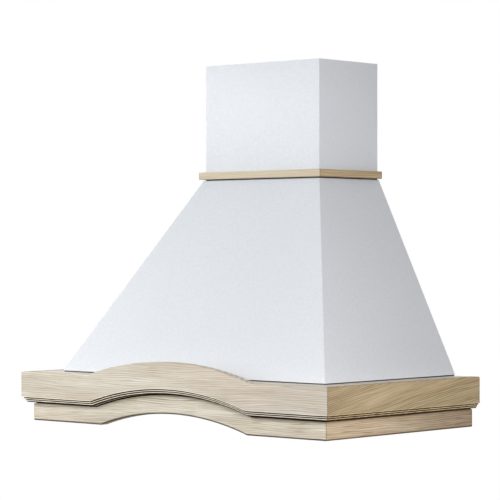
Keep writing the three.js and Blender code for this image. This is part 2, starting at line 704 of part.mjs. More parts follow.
function addChimney() {
  const cover = foldedChannel(CHIMNEY_WIDTH / 2, -CHIMNEY_DEPTH, -WALL_GAP, CHIMNEY_FOOT, CHIMNEY_TOP);
  add('chimney_cover', cover, 'paintedSheet');

  const channel = foldedChannel(
    EXTENSION_HALF_WIDTH, EXTENSION_FRONT, EXTENSION_BACK, CHIMNEY_FOOT, EXTENSION_TOP,
  );
  const ventCentre = -CHIMNEY_DEPTH / 2;
  const vents = Array.from({ length: VENT_COUNT }, (_, vent) => {
    const top = EXTENSION_TOP - VENT_TOP_MARGIN - vent * VENT_PITCH;
    return box(
      -CHIMNEY_WIDTH,
      CHIMNEY_WIDTH,
      ventCentre - VENT_LENGTH / 2,
      ventCentre + VENT_LENGTH / 2,
      top - VENT_HEIGHT,
      top,
    );
  });
  add('chimney_extension', cut(channel, ...vents), 'paintedSheet');
}

function addRing() {
  const profile = [
    [RING_PROJECTION - CLEARANCE, RING_FOOT],
    [RING_PROJECTION - CLEARANCE, RING_FOOT + RING_HEIGHT],
    [0, RING_FOOT + RING_HEIGHT],
    [0, RING_FOOT],
  ];
  const width = CHIMNEY_WIDTH + 2 * RING_PROJECTION;
  const depth = CHIMNEY_DEPTH + RING_PROJECTION;
  for (const [side, [mitreStart, mitreEnd]] of Object.entries(MITRES)) {
    const isFront = side === 'front';
    const length = isFront ? width : depth;
    const geometry = rail(length, [0, length], () => profile, mitreStart, mitreEnd);
    const mesh = add(`chimney_ring_${side}`, geometry, isFront ? 'frontWood' : 'sideWood');
    placeRail(mesh, side, width / 2, depth);
  }
}

// Bracket on the wall that the extension is screwed to once it is pulled up to the ceiling.
function addChimneyBracket() {
  const plateHalf = EXTENSION_HALF_WIDTH - FOLD - CHIMNEY_BRACKET_GAP;
  const standoff = EXTENSION_BACK - SHEET - CHIMNEY_BRACKET_GAP;
  const armOuter = EXTENSION_HALF_WIDTH - SHEET - SLIDING_GAP;
  const armInner = armOuter - SHEET;
  const armFront = standoff - CHIMNEY_BRACKET_ARM;
  const right = [
    [plateHalf, 0],
    [plateHalf, standoff],
    [armOuter, standoff],
    [armOuter, armFront],
    [armInner, armFront],
    [armInner, standoff - SHEET],
    [plateHalf - SHEET, standoff - SHEET],
    [plateHalf - SHEET, -SHEET],
  ];
  const left = right.map(([x, y]) => [-x, y]).reverse();
  const strip = extrude(shapeOf([...right, ...left]), CHIMNEY_BRACKET_HEIGHT);
  strip.translate(0, 0, CHIMNEY_TOP - CHIMNEY_BRACKET_DROP);
  add('chimney_bracket', strip, 'galvanised');
}

// ---------------------------------------------------------------- rear panel and wall bracket

// Outline in X and Z: full width inside the cornice, then following the canopy's sides.
function rearPanelOutline(shrink) {
  const inset = leaningWall() + CLEARANCE + shrink;
  const canopyStart = CANOPY_FOOT - CLEARANCE;
  const canopyEnd = CANOPY_TOP_HEIGHT - SHEET - CLEARANCE - shrink;
  const lowHalf = INNER_HALF_WIDTH - CLEARANCE - shrink;
  const canopyHalf = canopyAt(canopyStart, inset).half;
  const topHalf = canopyAt(canopyEnd, inset).half;
  return [
    [-lowHalf, REAR_PANEL_FOOT],
    [lowHalf, REAR_PANEL_FOOT],
    [lowHalf, LOWER_TOP],
    [canopyHalf, LOWER_TOP],
    [canopyHalf, canopyStart],
    [topHalf, canopyEnd],
    [-topHalf, canopyEnd],
    [-canopyHalf, canopyStart],
    [-canopyHalf, LOWER_TOP],
    [-lowHalf, LOWER_TOP],
  ];
}

function addRearPanel() {
  const slotTop = BRACKET_TOP + CLEARANCE;
  const slotFoot = slotTop - BRACKET_LIP - HANGING_PLAY;
  const slotHalf = BRACKET_WIDTH / 2 + CLEARANCE;
  const panel = extrudeForward(
    shapeOf(rearPanelOutline(0)), -REAR_PANEL_BACK, REAR_PANEL_SHEET,
  );
  const slot = box(-slotHalf, slotHalf, -2 * REAR_PANEL_FRONT, 0, slotFoot, slotTop);
  add('rear_panel', cut(panel, slot), 'galvanised');
}

function addWallBracket() {
  const foot = BRACKET_TOP - BRACKET_HEIGHT;
  const profile = shapeOf([
    [0, foot],
    [0, BRACKET_TOP],
    [-BRACKET_REACH + BRACKET_SHEET, BRACKET_TOP],
    [-BRACKET_REACH + BRACKET_SHEET, BRACKET_TOP + BRACKET_LIP],
    [-BRACKET_REACH, BRACKET_TOP + BRACKET_LIP],
    [-BRACKET_REACH, BRACKET_TOP - BRACKET_SHEET],
    [-BRACKET_SHEET, BRACKET_TOP - BRACKET_SHEET],
    [-BRACKET_SHEET, foot],
  ]);
  const strip = extrudeAlongX(profile, -BRACKET_WIDTH / 2, BRACKET_WIDTH);
  const slotX = BRACKET_WIDTH / 2 - BRACKET_SLOT_INSET;
  const slots = [-slotX, slotX].map((x) => wallSlot(x, HANGER_HEIGHT));
  add('wall_bracket', cut(strip, ...slots), 'galvanised');
}

// Horizontal slot with round ends for a wall screw.
function wallSlot(x, z) {
  const reach = BRACKET_SLOT_LENGTH / 2 - BRACKET_SLOT_RADIUS;
  const shape = new THREE.Shape();
  shape.absarc(x + reach, z, BRACKET_SLOT_RADIUS, -Math.PI / 2, Math.PI / 2);
  shape.absarc(x - reach, z, BRACKET_SLOT_RADIUS, Math.PI / 2, 1.5 * Math.PI);
  return extrudeForward(shape, 1, BRACKET_SHEET + 2);
}

// ---------------------------------------------------------------- underside pan and fittings

const APERTURE_SIDES = [
  ['left', -APERTURE_OUTER, -APERTURE_INNER],
  ['right', APERTURE_INNER, APERTURE_OUTER],
];
const LAMP_SIDES = [
  ['left', LAMP_SIDE_MARGIN - PAN_HALF_WIDTH],
  ['right', PAN_HALF_WIDTH - LAMP_SIDE_MARGIN],
];

function addPan() {
  const top = PAN_HEIGHT + PAN_FLANGE;
  const tray = box(-PAN_HALF_WIDTH, PAN_HALF_WIDTH, PAN_FRONT, BEHIND_LIMIT, PAN_HEIGHT, top);
  const inside = box(
    -PAN_HALF_WIDTH + PAN_SHEET,
    PAN_HALF_WIDTH - PAN_SHEET,
    PAN_FRONT + PAN_SHEET,
    BEHIND_LIMIT - PAN_SHEET,
    PAN_TOP,
    top + 1,
  );
  const through = [PAN_HEIGHT - 1, PAN_TOP + 1];
  const apertures = APERTURE_SIDES.map(([, x0, x1]) => (
    box(x0, x1, APERTURE_FRONT, APERTURE_BACK, ...through)
  ));
  const lampHoles = LAMP_SIDES.map(([, x]) => (
    rod(LAMP_RADIUS + CLEARANCE, PAN_SHEET + 2, SIDES_MEDIUM).translate(x, FITTING_Y, PAN_HEIGHT - 1)
  ));
  const switchHalfWidth = SWITCH_BODY_WIDTH / 2 + CLEARANCE;
  const switchHalfDepth = SWITCH_BODY_DEPTH / 2 + CLEARANCE;
  const switchHole = box(
    -switchHalfWidth,
    switchHalfWidth,
    FITTING_Y - switchHalfDepth,
    FITTING_Y + switchHalfDepth,
    ...through,
  );
  const screwHoles = [-1, 1].flatMap((side) => [-1, 1].map((inward) => {
    const [x, y] = panScrewPlace(side, inward);
    return rod(SCREW_RADIUS + CLEARANCE, PAN_SHEET + 2).translate(x, y, PAN_HEIGHT - 1);
  }));
  const pan = cut(tray, inside, ...apertures, ...lampHoles, switchHole, ...screwHoles);
  add('underside_pan', pan, 'paintedSheet');
}

function addFilter(side, x0, x1) {
  const left = x0 + FILTER_GAP;
  const right = x1 - FILTER_GAP;
  const front = APERTURE_FRONT + FILTER_GAP;
  const back = APERTURE_BACK - FILTER_GAP;
  const foot = PAN_HEIGHT;
  const top = foot + FILTER_THICKNESS;
  const middle = (left + right) / 2;
  const grooveEdge = FILTER_BORDER - FILTER_GROOVE;
  const catchHalf = CATCH_GRIP_WIDTH / 2 + CATCH_SHOULDER;
  const inset = (edge, z0, z1) => box(left + edge, right - edge, front + edge, back - edge, z0, z1);

  const tabs = [-1, 1].map((end) => {
    const centre = middle + (end * TAB_SPACING) / 2;
    const tabFoot = PAN_TOP + CLEARANCE;
    return box(
      centre - TAB_WIDTH / 2,
      centre + TAB_WIDTH / 2,
      back - 1,
      APERTURE_BACK + TAB_REACH,
      tabFoot,
      tabFoot + FILTER_LIP,
    );
  });
  const catchFoot = foot + (FILTER_THICKNESS - CATCH_THICKNESS) / 2;
  const pocket = box(
    middle - catchHalf - CLEARANCE,
    middle + catchHalf + CLEARANCE,
    front - 1,
    front + CATCH_LENGTH,
    catchFoot - CLEARANCE,
    catchFoot + CATCH_THICKNESS + CLEARANCE,
  );
  const gripBack = front + CATCH_LENGTH - CATCH_TRAVEL - CLEARANCE;
  const gripFront = gripBack - CATCH_GRIP_DEPTH;
  const gripRoom = box(
    middle - CATCH_GRIP_WIDTH / 2 - CLEARANCE,
    middle + CATCH_GRIP_WIDTH / 2 + CLEARANCE,
    gripFront - CLEARANCE,
    gripBack + CATCH_TRAVEL + CLEARANCE,
    foot - 1,
    catchFoot,
  );
  const body = inset(0, foot, top);
  const window = inset(FILTER_BORDER, foot - 1, top + 1);
  const groove = inset(grooveEdge, foot + FILTER_LIP, top - FILTER_LIP);
  const frame = cut(join(body, ...tabs), window, groove, pocket, gripRoom);
  add(`filter_frame_${side}`, frame, 'aluminium');

  add(`filter_mesh_${side}`, pleatedMesh(
    left + grooveEdge + CLEARANCE,
    right - grooveEdge - CLEARANCE,
    front + grooveEdge + CLEARANCE,
    back - grooveEdge - CLEARANCE,
    foot + FILTER_LIP + CLEARANCE,
    top - FILTER_LIP - CLEARANCE,
  ), 'aluminium');

  const slider = box(
    middle - catchHalf,
    middle + catchHalf,
    APERTURE_FRONT + CLEARANCE,
    front + CATCH_LENGTH - CATCH_TRAVEL - CLEARANCE,
    catchFoot,
    catchFoot + CATCH_THICKNESS,
  );
  const grip = box(
    middle - CATCH_GRIP_WIDTH / 2,
    middle + CATCH_GRIP_WIDTH / 2,
    gripFront,
    gripBack,
    catchFoot - CATCH_GRIP_DROP,
    catchFoot + 1,
  );
  add(`filter_catch_${side}`, join(slider, grip), 'greyPlastic');
}

// Corrugated sheet whose folds run along Y.
function pleatedMesh(x0, x1, y0, y1, z0, z1) {
  const folds = 2 * PLEAT_COUNT;
  const crest = (fold) => (fold % 2 === 0 ? z0 : z1 - PLEAT_SHEET);
  const lower = Array.from({ length: folds + 1 }, (_, fold) => (
    [x0 + ((x1 - x0) * fold) / folds, crest(fold)]
  ));
  const upper = lower.map(([x, z]) => [x, z + PLEAT_SHEET]).reverse();
  return extrudeForward(shapeOf([...lower, ...upper]), y1, y1 - y0);
}

function addLamp(side, x) {
  const lensSeat = FITTING_TOP + LENS_THICKNESS + CLEARANCE;
  const innerRadius = LAMP_RADIUS - LAMP_WALL;
  const flangeRadius = LAMP_RADIUS + LAMP_FLANGE_WIDTH;
  const flangeFoot = FITTING_TOP - LAMP_FLANGE;
  const top = FITTING_TOP + LAMP_DEPTH;
  const can = turn([
    [innerRadius, flangeFoot],
    [flangeRadius, flangeFoot],
    [flangeRadius, FITTING_TOP],
    [LAMP_RADIUS, FITTING_TOP],
    [LAMP_RADIUS, top],
    [0, top],
    [0, top - LAMP_WALL],
    [innerRadius - LAMP_WALL, top - LAMP_WALL],
    [innerRadius - LAMP_WALL, lensSeat],
    [innerRadius, lensSeat],
    [innerRadius, flangeFoot],
  ], SIDES_MEDIUM).translate(x, FITTING_Y, 0);
  add(`lamp_can_${side}`, can, 'steel');
  const lens = rod(innerRadius - CLEARANCE, LENS_THICKNESS, SIDES_MEDIUM)
    .translate(x, FITTING_Y, FITTING_TOP);
  add(`lamp_lens_${side}`, lens, 'frostedGlass');
}

function addSwitches() {
  const halfWidth = SWITCH_BODY_WIDTH / 2;
  const halfDepth = SWITCH_BODY_DEPTH / 2;
  const flangeFoot = FITTING_TOP - SWITCH_FLANGE;
  const block = (margin, z0, z1) => box(
    -halfWidth - margin,
    halfWidth + margin,
    FITTING_Y - halfDepth - margin,
    FITTING_Y + halfDepth + margin,
    z0,
    z1,
  );
  const middle = (BUTTON_NAMES.length - 1) / 2;
  const centres = BUTTON_NAMES.map((_, place) => (place - middle) * BUTTON_PITCH);
  const buttonBlock = (x, grow, z0, z1) => box(
    x - BUTTON_WIDTH / 2 - grow,
    x + BUTTON_WIDTH / 2 + grow,
    FITTING_Y - BUTTON_DEPTH / 2 - grow,
    FITTING_Y + BUTTON_DEPTH / 2 + grow,
    z0,
    z1,
  );
  const holes = centres.map((x) => buttonBlock(x, CLEARANCE, flangeFoot - 1, SWITCH_TOP + 1));
  const frame = join(
    block(SWITCH_FLANGE_MARGIN, flangeFoot, FITTING_TOP),
    block(0, FITTING_TOP - 1, SWITCH_TOP),
  );
  add('switch_panel', cut(frame, ...holes), 'whitePlastic');

  const shoulderFoot = SWITCH_TOP + CLEARANCE;
  const shoulderTop = shoulderFoot + BUTTON_SHOULDER;
  BUTTON_NAMES.forEach((name, place) => {
    const stem = buttonBlock(centres[place], 0, flangeFoot - BUTTON_PROUD, shoulderTop);
    const shoulder = buttonBlock(centres[place], BUTTON_SHOULDER, shoulderFoot, shoulderTop);
    add(name, join(stem, shoulder), 'greyPlastic');
  });
}

// ---------------------------------------------------------------- blower

// Scroll outline about the fan's axis, in Y and Z: up the outlet, then the spiral from the tongue.
function scrollOutline(inset) {
  const outletTop = OUTLET_TOP + inset - FAN_HEIGHT;
  const points = [
    [SCROLL_END_RADIUS - inset, 0],
    [SCROLL_END_RADIUS - inset, outletTop],
    [OUTLET_INNER + inset, outletTop],
  ];
  const sweep = 2 * Math.PI - SCROLL_TONGUE_ANGLE;
  const growth = SCROLL_END_RADIUS - SCROLL_TONGUE_RADIUS;
  for (let step = 0; step < SCROLL_STEPS; step += 1) {
    const share = step / SCROLL_STEPS;
    const angle = SCROLL_TONGUE_ANGLE + sweep * share;
    const radius = SCROLL_TONGUE_RADIUS + growth * share - inset;
    const tongueShift = step === 0 ? inset : 0;
    points.push([radius * Math.cos(angle) + tongueShift, radius * Math.sin(angle)]);
  }
  return points.map(([y, z]) => [y + FAN_Y, z + FAN_HEIGHT]);
}

function circleShape(radius, y, z) {
  const shape = new THREE.Shape();
  shape.absarc(y, z, radius, 0, 2 * Math.PI);
  return shape;
}

// Turns a profile of [radius, distance] pairs about the fan's axis, starting at x.
function turnAboutFan(profile, x, segments) {
  return turn(profile, segments).rotateY(Math.PI / 2).translate(x, FAN_Y, FAN_HEIGHT);
}

function addBlowerHousing() {
  const seam = CLEARANCE / 2;
  const outletBack = FAN_Y + SCROLL_END_RADIUS;
  const outletFront = FAN_Y + OUTLET_INNER;
  for (const [side, sign] of [['left', -1], ['right', 1]]) {
    const span = (near, far) => (sign > 0 ? [near, far] : [-far, -near]);
    const slab = (outline, near, far, curveSegments) => {
      const [x0, x1] = span(near, far);
      return extrudeAlongX(outline, x0, x1 - x0, curveSegments);
    };
    const outer = slab(shapeOf(scrollOutline(0)), seam, SCROLL_HALF_WIDTH);
    const hollow = slab(
      shapeOf(scrollOutline(SCROLL_WALL)), seam - 1, SCROLL_HALF_WIDTH - SCROLL_WALL,
    );
    const inlet = slab(
      circleShape(INLET_RADIUS, FAN_Y, FAN_HEIGHT), seam, SCROLL_HALF_WIDTH + 1, SIDES_MEDIUM / 2,
    );
    const flange = box(
      ...span(seam, SCROLL_HALF_WIDTH + OUTLET_FLANGE),
      outletFront - OUTLET_FLANGE,
      outletBack + OUTLET_FLANGE,
      OUTLET_TOP - SCROLL_WALL,
      OUTLET_TOP,
    );
    add(`blower_housing_${side}`, cut(join(outer, flange), hollow, inlet), 'galvanised');
  }
}

// One forward-curved blade in Y and Z about the fan's axis, at an angle round it.
function bladeOutline(angle) {
  const stations = [0, 0.5, 1];
  const edge = (side) => stations.map((share) => {
    const radius = BLADE_FOOT_RADIUS + FAN_BLADE_DEPTH * share;
    const turned = angle + FAN_BLADE_SWEEP * share * share + (side * FAN_BLADE_SHEET) / 2 / radius;
    return [FAN_Y + radius * Math.cos(turned), FAN_HEIGHT + radius * Math.sin(turned)];
  });
  return [...edge(-1), ...edge(1).reverse()];
}

function addRotor() {
  const rim = turnAboutFan([
    [BLADE_FOOT_RADIUS, 0],
    [FAN_RADIUS, 0],
    [FAN_RADIUS, FAN_RIM],
    [BLADE_FOOT_RADIUS, FAN_RIM],
    [BLADE_FOOT_RADIUS, 0],
  ], 0, SIDES_MEDIUM);
  const blades = Array.from({ length: FAN_BLADES }, (_, blade) => extrudeAlongX(
    shapeOf(bladeOutline((2 * Math.PI * blade) / FAN_BLADES)),
    -FAN_HALF_WIDTH + FAN_RIM / 2,
    2 * FAN_HALF_WIDTH - FAN_RIM,
  ));
  const along = (radius, x0, x1, segments) => (
    rodAlongX(radius, x0, x1, FAN_Y, FAN_HEIGHT, segments)
  );
  const impeller = join(
    along(FAN_RADIUS - FAN_BLADE_DEPTH / 2, -FAN_DISC / 2, FAN_DISC / 2, SIDES_MEDIUM),
    along(HUB_RADIUS, -HUB_HALF_LENGTH, HUB_HALF_LENGTH),
    rim.clone().translate(-FAN_HALF_WIDTH, 0, 0),
    rim.clone().translate(FAN_HALF_WIDTH - FAN_RIM, 0, 0),
    ...blades,
  );
  const bore = along(SHAFT_RADIUS + CLEARANCE, -2 * HUB_HALF_LENGTH, 2 * HUB_HALF_LENGTH);
  add('impeller', cut(impeller, bore), 'blackPlastic');
  const shaftEnd = MOTOR_START + MOTOR_BORE_DEPTH - SHAFT_RADIUS;
  add('motor_shaft', along(SHAFT_RADIUS, -HUB_HALF_LENGTH - SHAFT_RADIUS, shaftEnd), 'steel');
}

function addMotor() {
  const length = SCROLL_HALF_WIDTH - MOTOR_START;
  const bore = SHAFT_RADIUS + RUNNING_CLEARANCE;
  const boss = MOTOR_RADIUS / 2;
  add('motor', turnAboutFan([
    [0, MOTOR_BORE_DEPTH],
    [bore, MOTOR_BORE_DEPTH],
    [bore, 0],
    [boss, 0],
    [boss, MOTOR_BOSS_HEIGHT],
    [MOTOR_RADIUS - MOTOR_CHAMFER, MOTOR_BOSS_HEIGHT],
    [MOTOR_RADIUS, MOTOR_BOSS_HEIGHT + MOTOR_CHAMFER],
    [MOTOR_RADIUS, length - MOTOR_CHAMFER],
    [MOTOR_RADIUS - MOTOR_CHAMFER, length],
    [0, length],
  ], MOTOR_START, SIDES_MEDIUM), 'galvanised');

  const spider = circleShape(INLET_RADIUS + MOTOR_BRACKET_RIM, FAN_Y, FAN_HEIGHT);
  const pitch = (2 * Math.PI) / MOTOR_BRACKET_ARMS;
  for (let arm = 0; arm < MOTOR_BRACKET_ARMS; arm += 1) {
    const start = Math.PI / 2 + pitch * arm + MOTOR_BRACKET_ARM_ANGLE / 2;
    const end = start + pitch - MOTOR_BRACKET_ARM_ANGLE;
    const window = new THREE.Path();
    window.absarc(FAN_Y, FAN_HEIGHT, INLET_RADIUS - CLEARANCE, start, end, false);
    window.absarc(FAN_Y, FAN_HEIGHT, MOTOR_BRACKET_HUB, end, start, true);
    spider.holes.push(window);
  }
  add('motor_bracket', extrudeAlongX(
    spider, SCROLL_HALF_WIDTH + CLEARANCE, MOTOR_BRACKET_SHEET,
  ), 'galvanised');
}

// Angle plate on the rear panel that the blower hangs under and the collar stands on.
function addBlowerSupport() {
  const plate = box(
    -SUPPORT_HALF_WIDTH,
    SUPPORT_HALF_WIDTH,
    SUPPORT_FRONT,
    BEHIND_LIMIT,
    SUPPORT_TOP - SUPPORT_SHEET,
    SUPPORT_TOP,
  );
  const leg = box(
    -SUPPORT_HALF_WIDTH,
    SUPPORT_HALF_WIDTH,
    BEHIND_LIMIT - SUPPORT_SHEET,
    BEHIND_LIMIT,
    SUPPORT_TOP - SUPPORT_LEG,
    SUPPORT_TOP,
  );
  const outlet = box(
    -SCROLL_HALF_WIDTH + SCROLL_WALL,
    SCROLL_HALF_WIDTH - SCROLL_WALL,
    FAN_Y + OUTLET_INNER + SCROLL_WALL,
    FAN_Y + SCROLL_END_RADIUS - SCROLL_WALL,
    OUTLET_TOP - 1,
    SUPPORT_TOP + 1,
  );
  add('blower_support', cut(join(plate, leg), outlet), 'galvanised');
}

// ---------------------------------------------------------------- outlet collar and flaps

function addCollar() {
  const ledgeTop = FLAP_AXIS_RISE - FLAP_SHEET / 2 - CLEARANCE;
  const ledgeFoot = ledgeTop - FLAP_LEDGE;
  const tube = turn([
    [COLLAR_BORE, 0],
    [COLLAR_FLANGE_RADIUS, 0],
    [COLLAR_FLANGE_RADIUS, COLLAR_WALL],
    [COLLAR_RADIUS, COLLAR_WALL],
    [COLLAR_RADIUS, COLLAR_HEIGHT],
    [COLLAR_BORE, COLLAR_HEIGHT],
    [COLLAR_BORE, ledgeTop],
    [COLLAR_BORE - FLAP_LEDGE, ledgeTop],
    [COLLAR_BORE - FLAP_LEDGE, ledgeFoot],
    [COLLAR_BORE, ledgeFoot],
    [COLLAR_BORE, 0],
  ], SIDES_LARGE).translate(0, COLLAR_Y, COLLAR_FOOT);
  const reach = COLLAR_RADIUS + PIN_HEAD;
  const along = (radius, x0, x1) => rodAlongX(radius, x0, x1, COLLAR_Y, FLAP_AXIS_HEIGHT);
  const pinHole = along(PIN_RADIUS + RUNNING_CLEARANCE, -reach - 1, reach + 1);
  add('outlet_collar', cut(tube, pinHole), 'blackPlastic');
  add('flap_pin', along(PIN_RADIUS, -reach, reach), 'steel');

  const cornerAngle = Math.asin(FLAP_EDGE / FLAP_RADIUS);
  const outline = new THREE.Shape();
  outline.absarc(0, 0, FLAP_RADIUS, cornerAngle, Math.PI - cornerAngle);
  const plate = extrude(outline, FLAP_SHEET).translate(0, 0, -FLAP_SHEET / 2);
  const flaps = [
    ['damper_flap_rear', 0, KNUCKLE_OFFSET],
    ['damper_flap_front', Math.PI, KNUCKLE_OFFSET + KNUCKLE_LENGTH + KNUCKLE_GAP],
  ];
  for (const [name, heading, offset] of flaps) {
    const knuckles = [-offset - KNUCKLE_LENGTH, offset].flatMap((x) => [
      rodAlongX(KNUCKLE_RADIUS, x, x + KNUCKLE_LENGTH, 0, 0),
      box(x, x + KNUCKLE_LENGTH, 0, FLAP_EDGE + 1, -FLAP_SHEET / 2, FLAP_SHEET / 2),
    ]);
    const bore = rodAlongX(PIN_RADIUS + RUNNING_CLEARANCE, -reach, reach, 0, 0);
    const flap = cut(join(plate, ...knuckles), bore);
    const mesh = add(name, flap, 'aluminium');
    mesh.position.set(0, COLLAR_Y, FLAP_AXIS_HEIGHT);
    mesh.rotation.z = heading;
  }
}

// ---------------------------------------------------------------- electrics

function addElectrics() {
  const boxX0 = BOX_X - BOX_WIDTH / 2;
  const boxX1 = BOX_X + BOX_WIDTH / 2;
  const boxFront = BEHIND_LIMIT - BOX_DEPTH;
  const boxTop = ELECTRICS_FOOT + BOX_HEIGHT;
  const glandY = BEHIND_LIMIT - BOX_DEPTH / 2;
  const casing = cut(
    box(boxX0, boxX1, boxFront, BEHIND_LIMIT, ELECTRICS_FOOT, boxTop),
    box(
      boxX0 + BOX_WALL,
      boxX1 - BOX_WALL,
      boxFront + BOX_WALL,
      BEHIND_LIMIT + 1,
      ELECTRICS_FOOT + BOX_WALL,
      boxTop - BOX_WALL,
    ),
    rod(GLAND_THREAD_RADIUS + CLEARANCE, BOX_WALL + 2).translate(BOX_X, glandY, boxTop - BOX_WALL - 1),
  );
  add('terminal_box', casing, 'whitePlastic');

  const gland = turn([
    [GLAND_BORE, -GLAND_THREAD_LENGTH],
    [GLAND_THREAD_RADIUS, -GLAND_THREAD_LENGTH],
    [GLAND_THREAD_RADIUS, CLEARANCE],
    [GLAND_RADIUS, CLEARANCE],
    [GLAND_RADIUS, GLAND_HEIGHT - GLAND_STEP],
    [GLAND_THREAD_RADIUS, GLAND_HEIGHT],
    [GLAND_BORE, GLAND_HEIGHT],
    [GLAND_BORE, -GLAND_THREAD_LENGTH],
  ], SIDES_SMALL).translate(BOX_X, glandY, boxTop);
  add('cable_gland', gland, 'blackPlastic');

  const capacitor = rod(CAPACITOR_RADIUS, CAPACITOR_HEIGHT, SIDES_MEDIUM)
    .translate(CAPACITOR_X, BEHIND_LIMIT - CAPACITOR_RADIUS, ELECTRICS_FOOT);
  add('capacitor', capacitor, 'whitePlastic');
}

addCornice();
addShelf();
addCornerBlocks();
addCanopy();
addChimney();
addRing();
addChimneyBracket();
addRearPanel();
addWallBracket();
addPan();
for (const [side, x0, x1] of APERTURE_SIDES) addFilter(side, x0, x1);
for (const [side, x] of LAMP_SIDES) addLamp(side, x);
addSwitches();
addBlowerHousing();
addRotor();
addMotor();
addBlowerSupport();
addCollar();
addElectrics();

export default hood;
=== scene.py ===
"""A wall-mounted chimney hood: painted canopy and chimney on a two-tier wooden cornice.

Metres, +Z up. X runs along the wall, the wall is the plane y = 0 and the front faces -Y.
The origin is on the wall behind the hanger, 0.3 m above the cornice's lower edge.
"""

import json
import math

import bmesh
import bpy
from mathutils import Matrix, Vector


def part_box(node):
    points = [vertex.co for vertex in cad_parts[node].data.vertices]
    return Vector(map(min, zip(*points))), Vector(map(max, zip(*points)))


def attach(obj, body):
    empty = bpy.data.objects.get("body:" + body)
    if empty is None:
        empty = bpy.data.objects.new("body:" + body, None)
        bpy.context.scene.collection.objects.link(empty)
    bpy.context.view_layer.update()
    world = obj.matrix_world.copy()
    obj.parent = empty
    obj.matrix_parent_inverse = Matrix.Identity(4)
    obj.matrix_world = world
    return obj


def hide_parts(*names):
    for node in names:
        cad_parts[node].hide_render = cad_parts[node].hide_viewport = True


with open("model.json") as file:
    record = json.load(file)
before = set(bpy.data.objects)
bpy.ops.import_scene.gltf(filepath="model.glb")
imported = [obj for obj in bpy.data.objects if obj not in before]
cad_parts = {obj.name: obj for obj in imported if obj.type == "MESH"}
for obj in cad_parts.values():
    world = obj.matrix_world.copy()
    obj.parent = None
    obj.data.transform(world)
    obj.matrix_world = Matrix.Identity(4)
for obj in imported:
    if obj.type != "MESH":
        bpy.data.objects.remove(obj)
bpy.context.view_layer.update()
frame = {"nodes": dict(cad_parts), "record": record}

# ---------------------------------------------------------------- sizes

MM = 0.001
HANGER_HEIGHT = 300 * MM
CLEARANCE = 0.3 * MM

RAIL_THICKNESS = 20 * MM
LOWER_REVEAL = 41.5 * MM
SHELF_HEIGHT = 110 * MM
ARCH_RADIUS = 705 * MM
ARCH_RISE = 33.6 * MM
UPPER_ARCH_RISE = 35.6 * MM
CREST_RISE = 36 * MM
ARCH_STEPS = 72
MOULDING_HEIGHT = 12.5 * MM
MOULDING_DEPTH = 9.5 * MM
REED_COUNT = 3
# A reed's outline: how far down it and how far in, as shares of its size, and its painted light,
# from -1 for a painted highlight on the crest to 1 for painted shade at the bottom of a groove.
REED_OUTLINE = [
    (0.0, 0.0, 0.0), (0.05, 0.0, -1.0), (0.34, 0.0, -1.0), (0.39, 0.06, -0.6), (0.41, 0.3, 1.0),
]
GROOVE_REACH = 1.35  # groove's depth, as a share of a reed's
EDGE_RADIUS = 2.5 * MM
EDGE_STEPS = 6
REVEAL_HEIGHT = 3 * MM  # shadow gap along the top of the lower tier's face
REVEAL_DEPTH = 3.5 * MM
SHADOW_BAND_HEIGHT = 7 * MM  # painted shadow on the lower tier's face, under the shadow gap
SHADOW_BAND_SHADE = 0.22
FOOT_LINE = 2 * MM  # painted shade along the lower tier's rounded foot edge
JOINT_LINE = 1.3 * MM  # darker edge of a mitred end: the joint's own dark line, with painted shade of its crease
END_LINE = 2.5 * MM  # darker edge at the wall
JOINT_SHADE = 0.55
ARRIS = 0.1 * MM  # an end's own edge, lighter than the line beside it
# painted shade of the lower tier's foot edge, as a share of the shade colour
FOOT_SHADE = 0.85
# painted shade on a lower rail's underside
UNDERSIDE_SHADE = 0.5
# painted shade in the shadow gap, and at its edge
GAP_SHADE = 1.0
GAP_EDGE_SHADE = 0.8

RING_LIP = 1.5 * MM  # how far the ring's foot comes down into the gap over the canopy
RING_EDGE_RADIUS = 0.8 * MM
RING_EDGE_STEPS = 3
RING_LINE = 1.2 * MM  # painted shade along the ring's foot, where it overhangs the shadow gap
# painted shade of the ring's lower edge
RING_SHADE = 0.4

SHEET = 1.5 * MM
FOLD = 18 * MM
CANOPY_BEND = 1.4 * MM
COVER_BEND = 2 * MM
EXTENSION_BEND = 1.6 * MM
BEND_STEPS = 5
BEND_ANGLE = math.radians(20)  # edges that turn more than this are bends
RIM_RADIUS = 0.25 * MM
RIM_ANGLE = math.radians(60)

VENT_COUNT = 5
VENT_LENGTH = 60 * MM
VENT_HEIGHT = 6 * MM
VENT_PITCH = 14 * MM
VENT_TOP_MARGIN = 30 * MM

# ---------------------------------------------------------------- materials


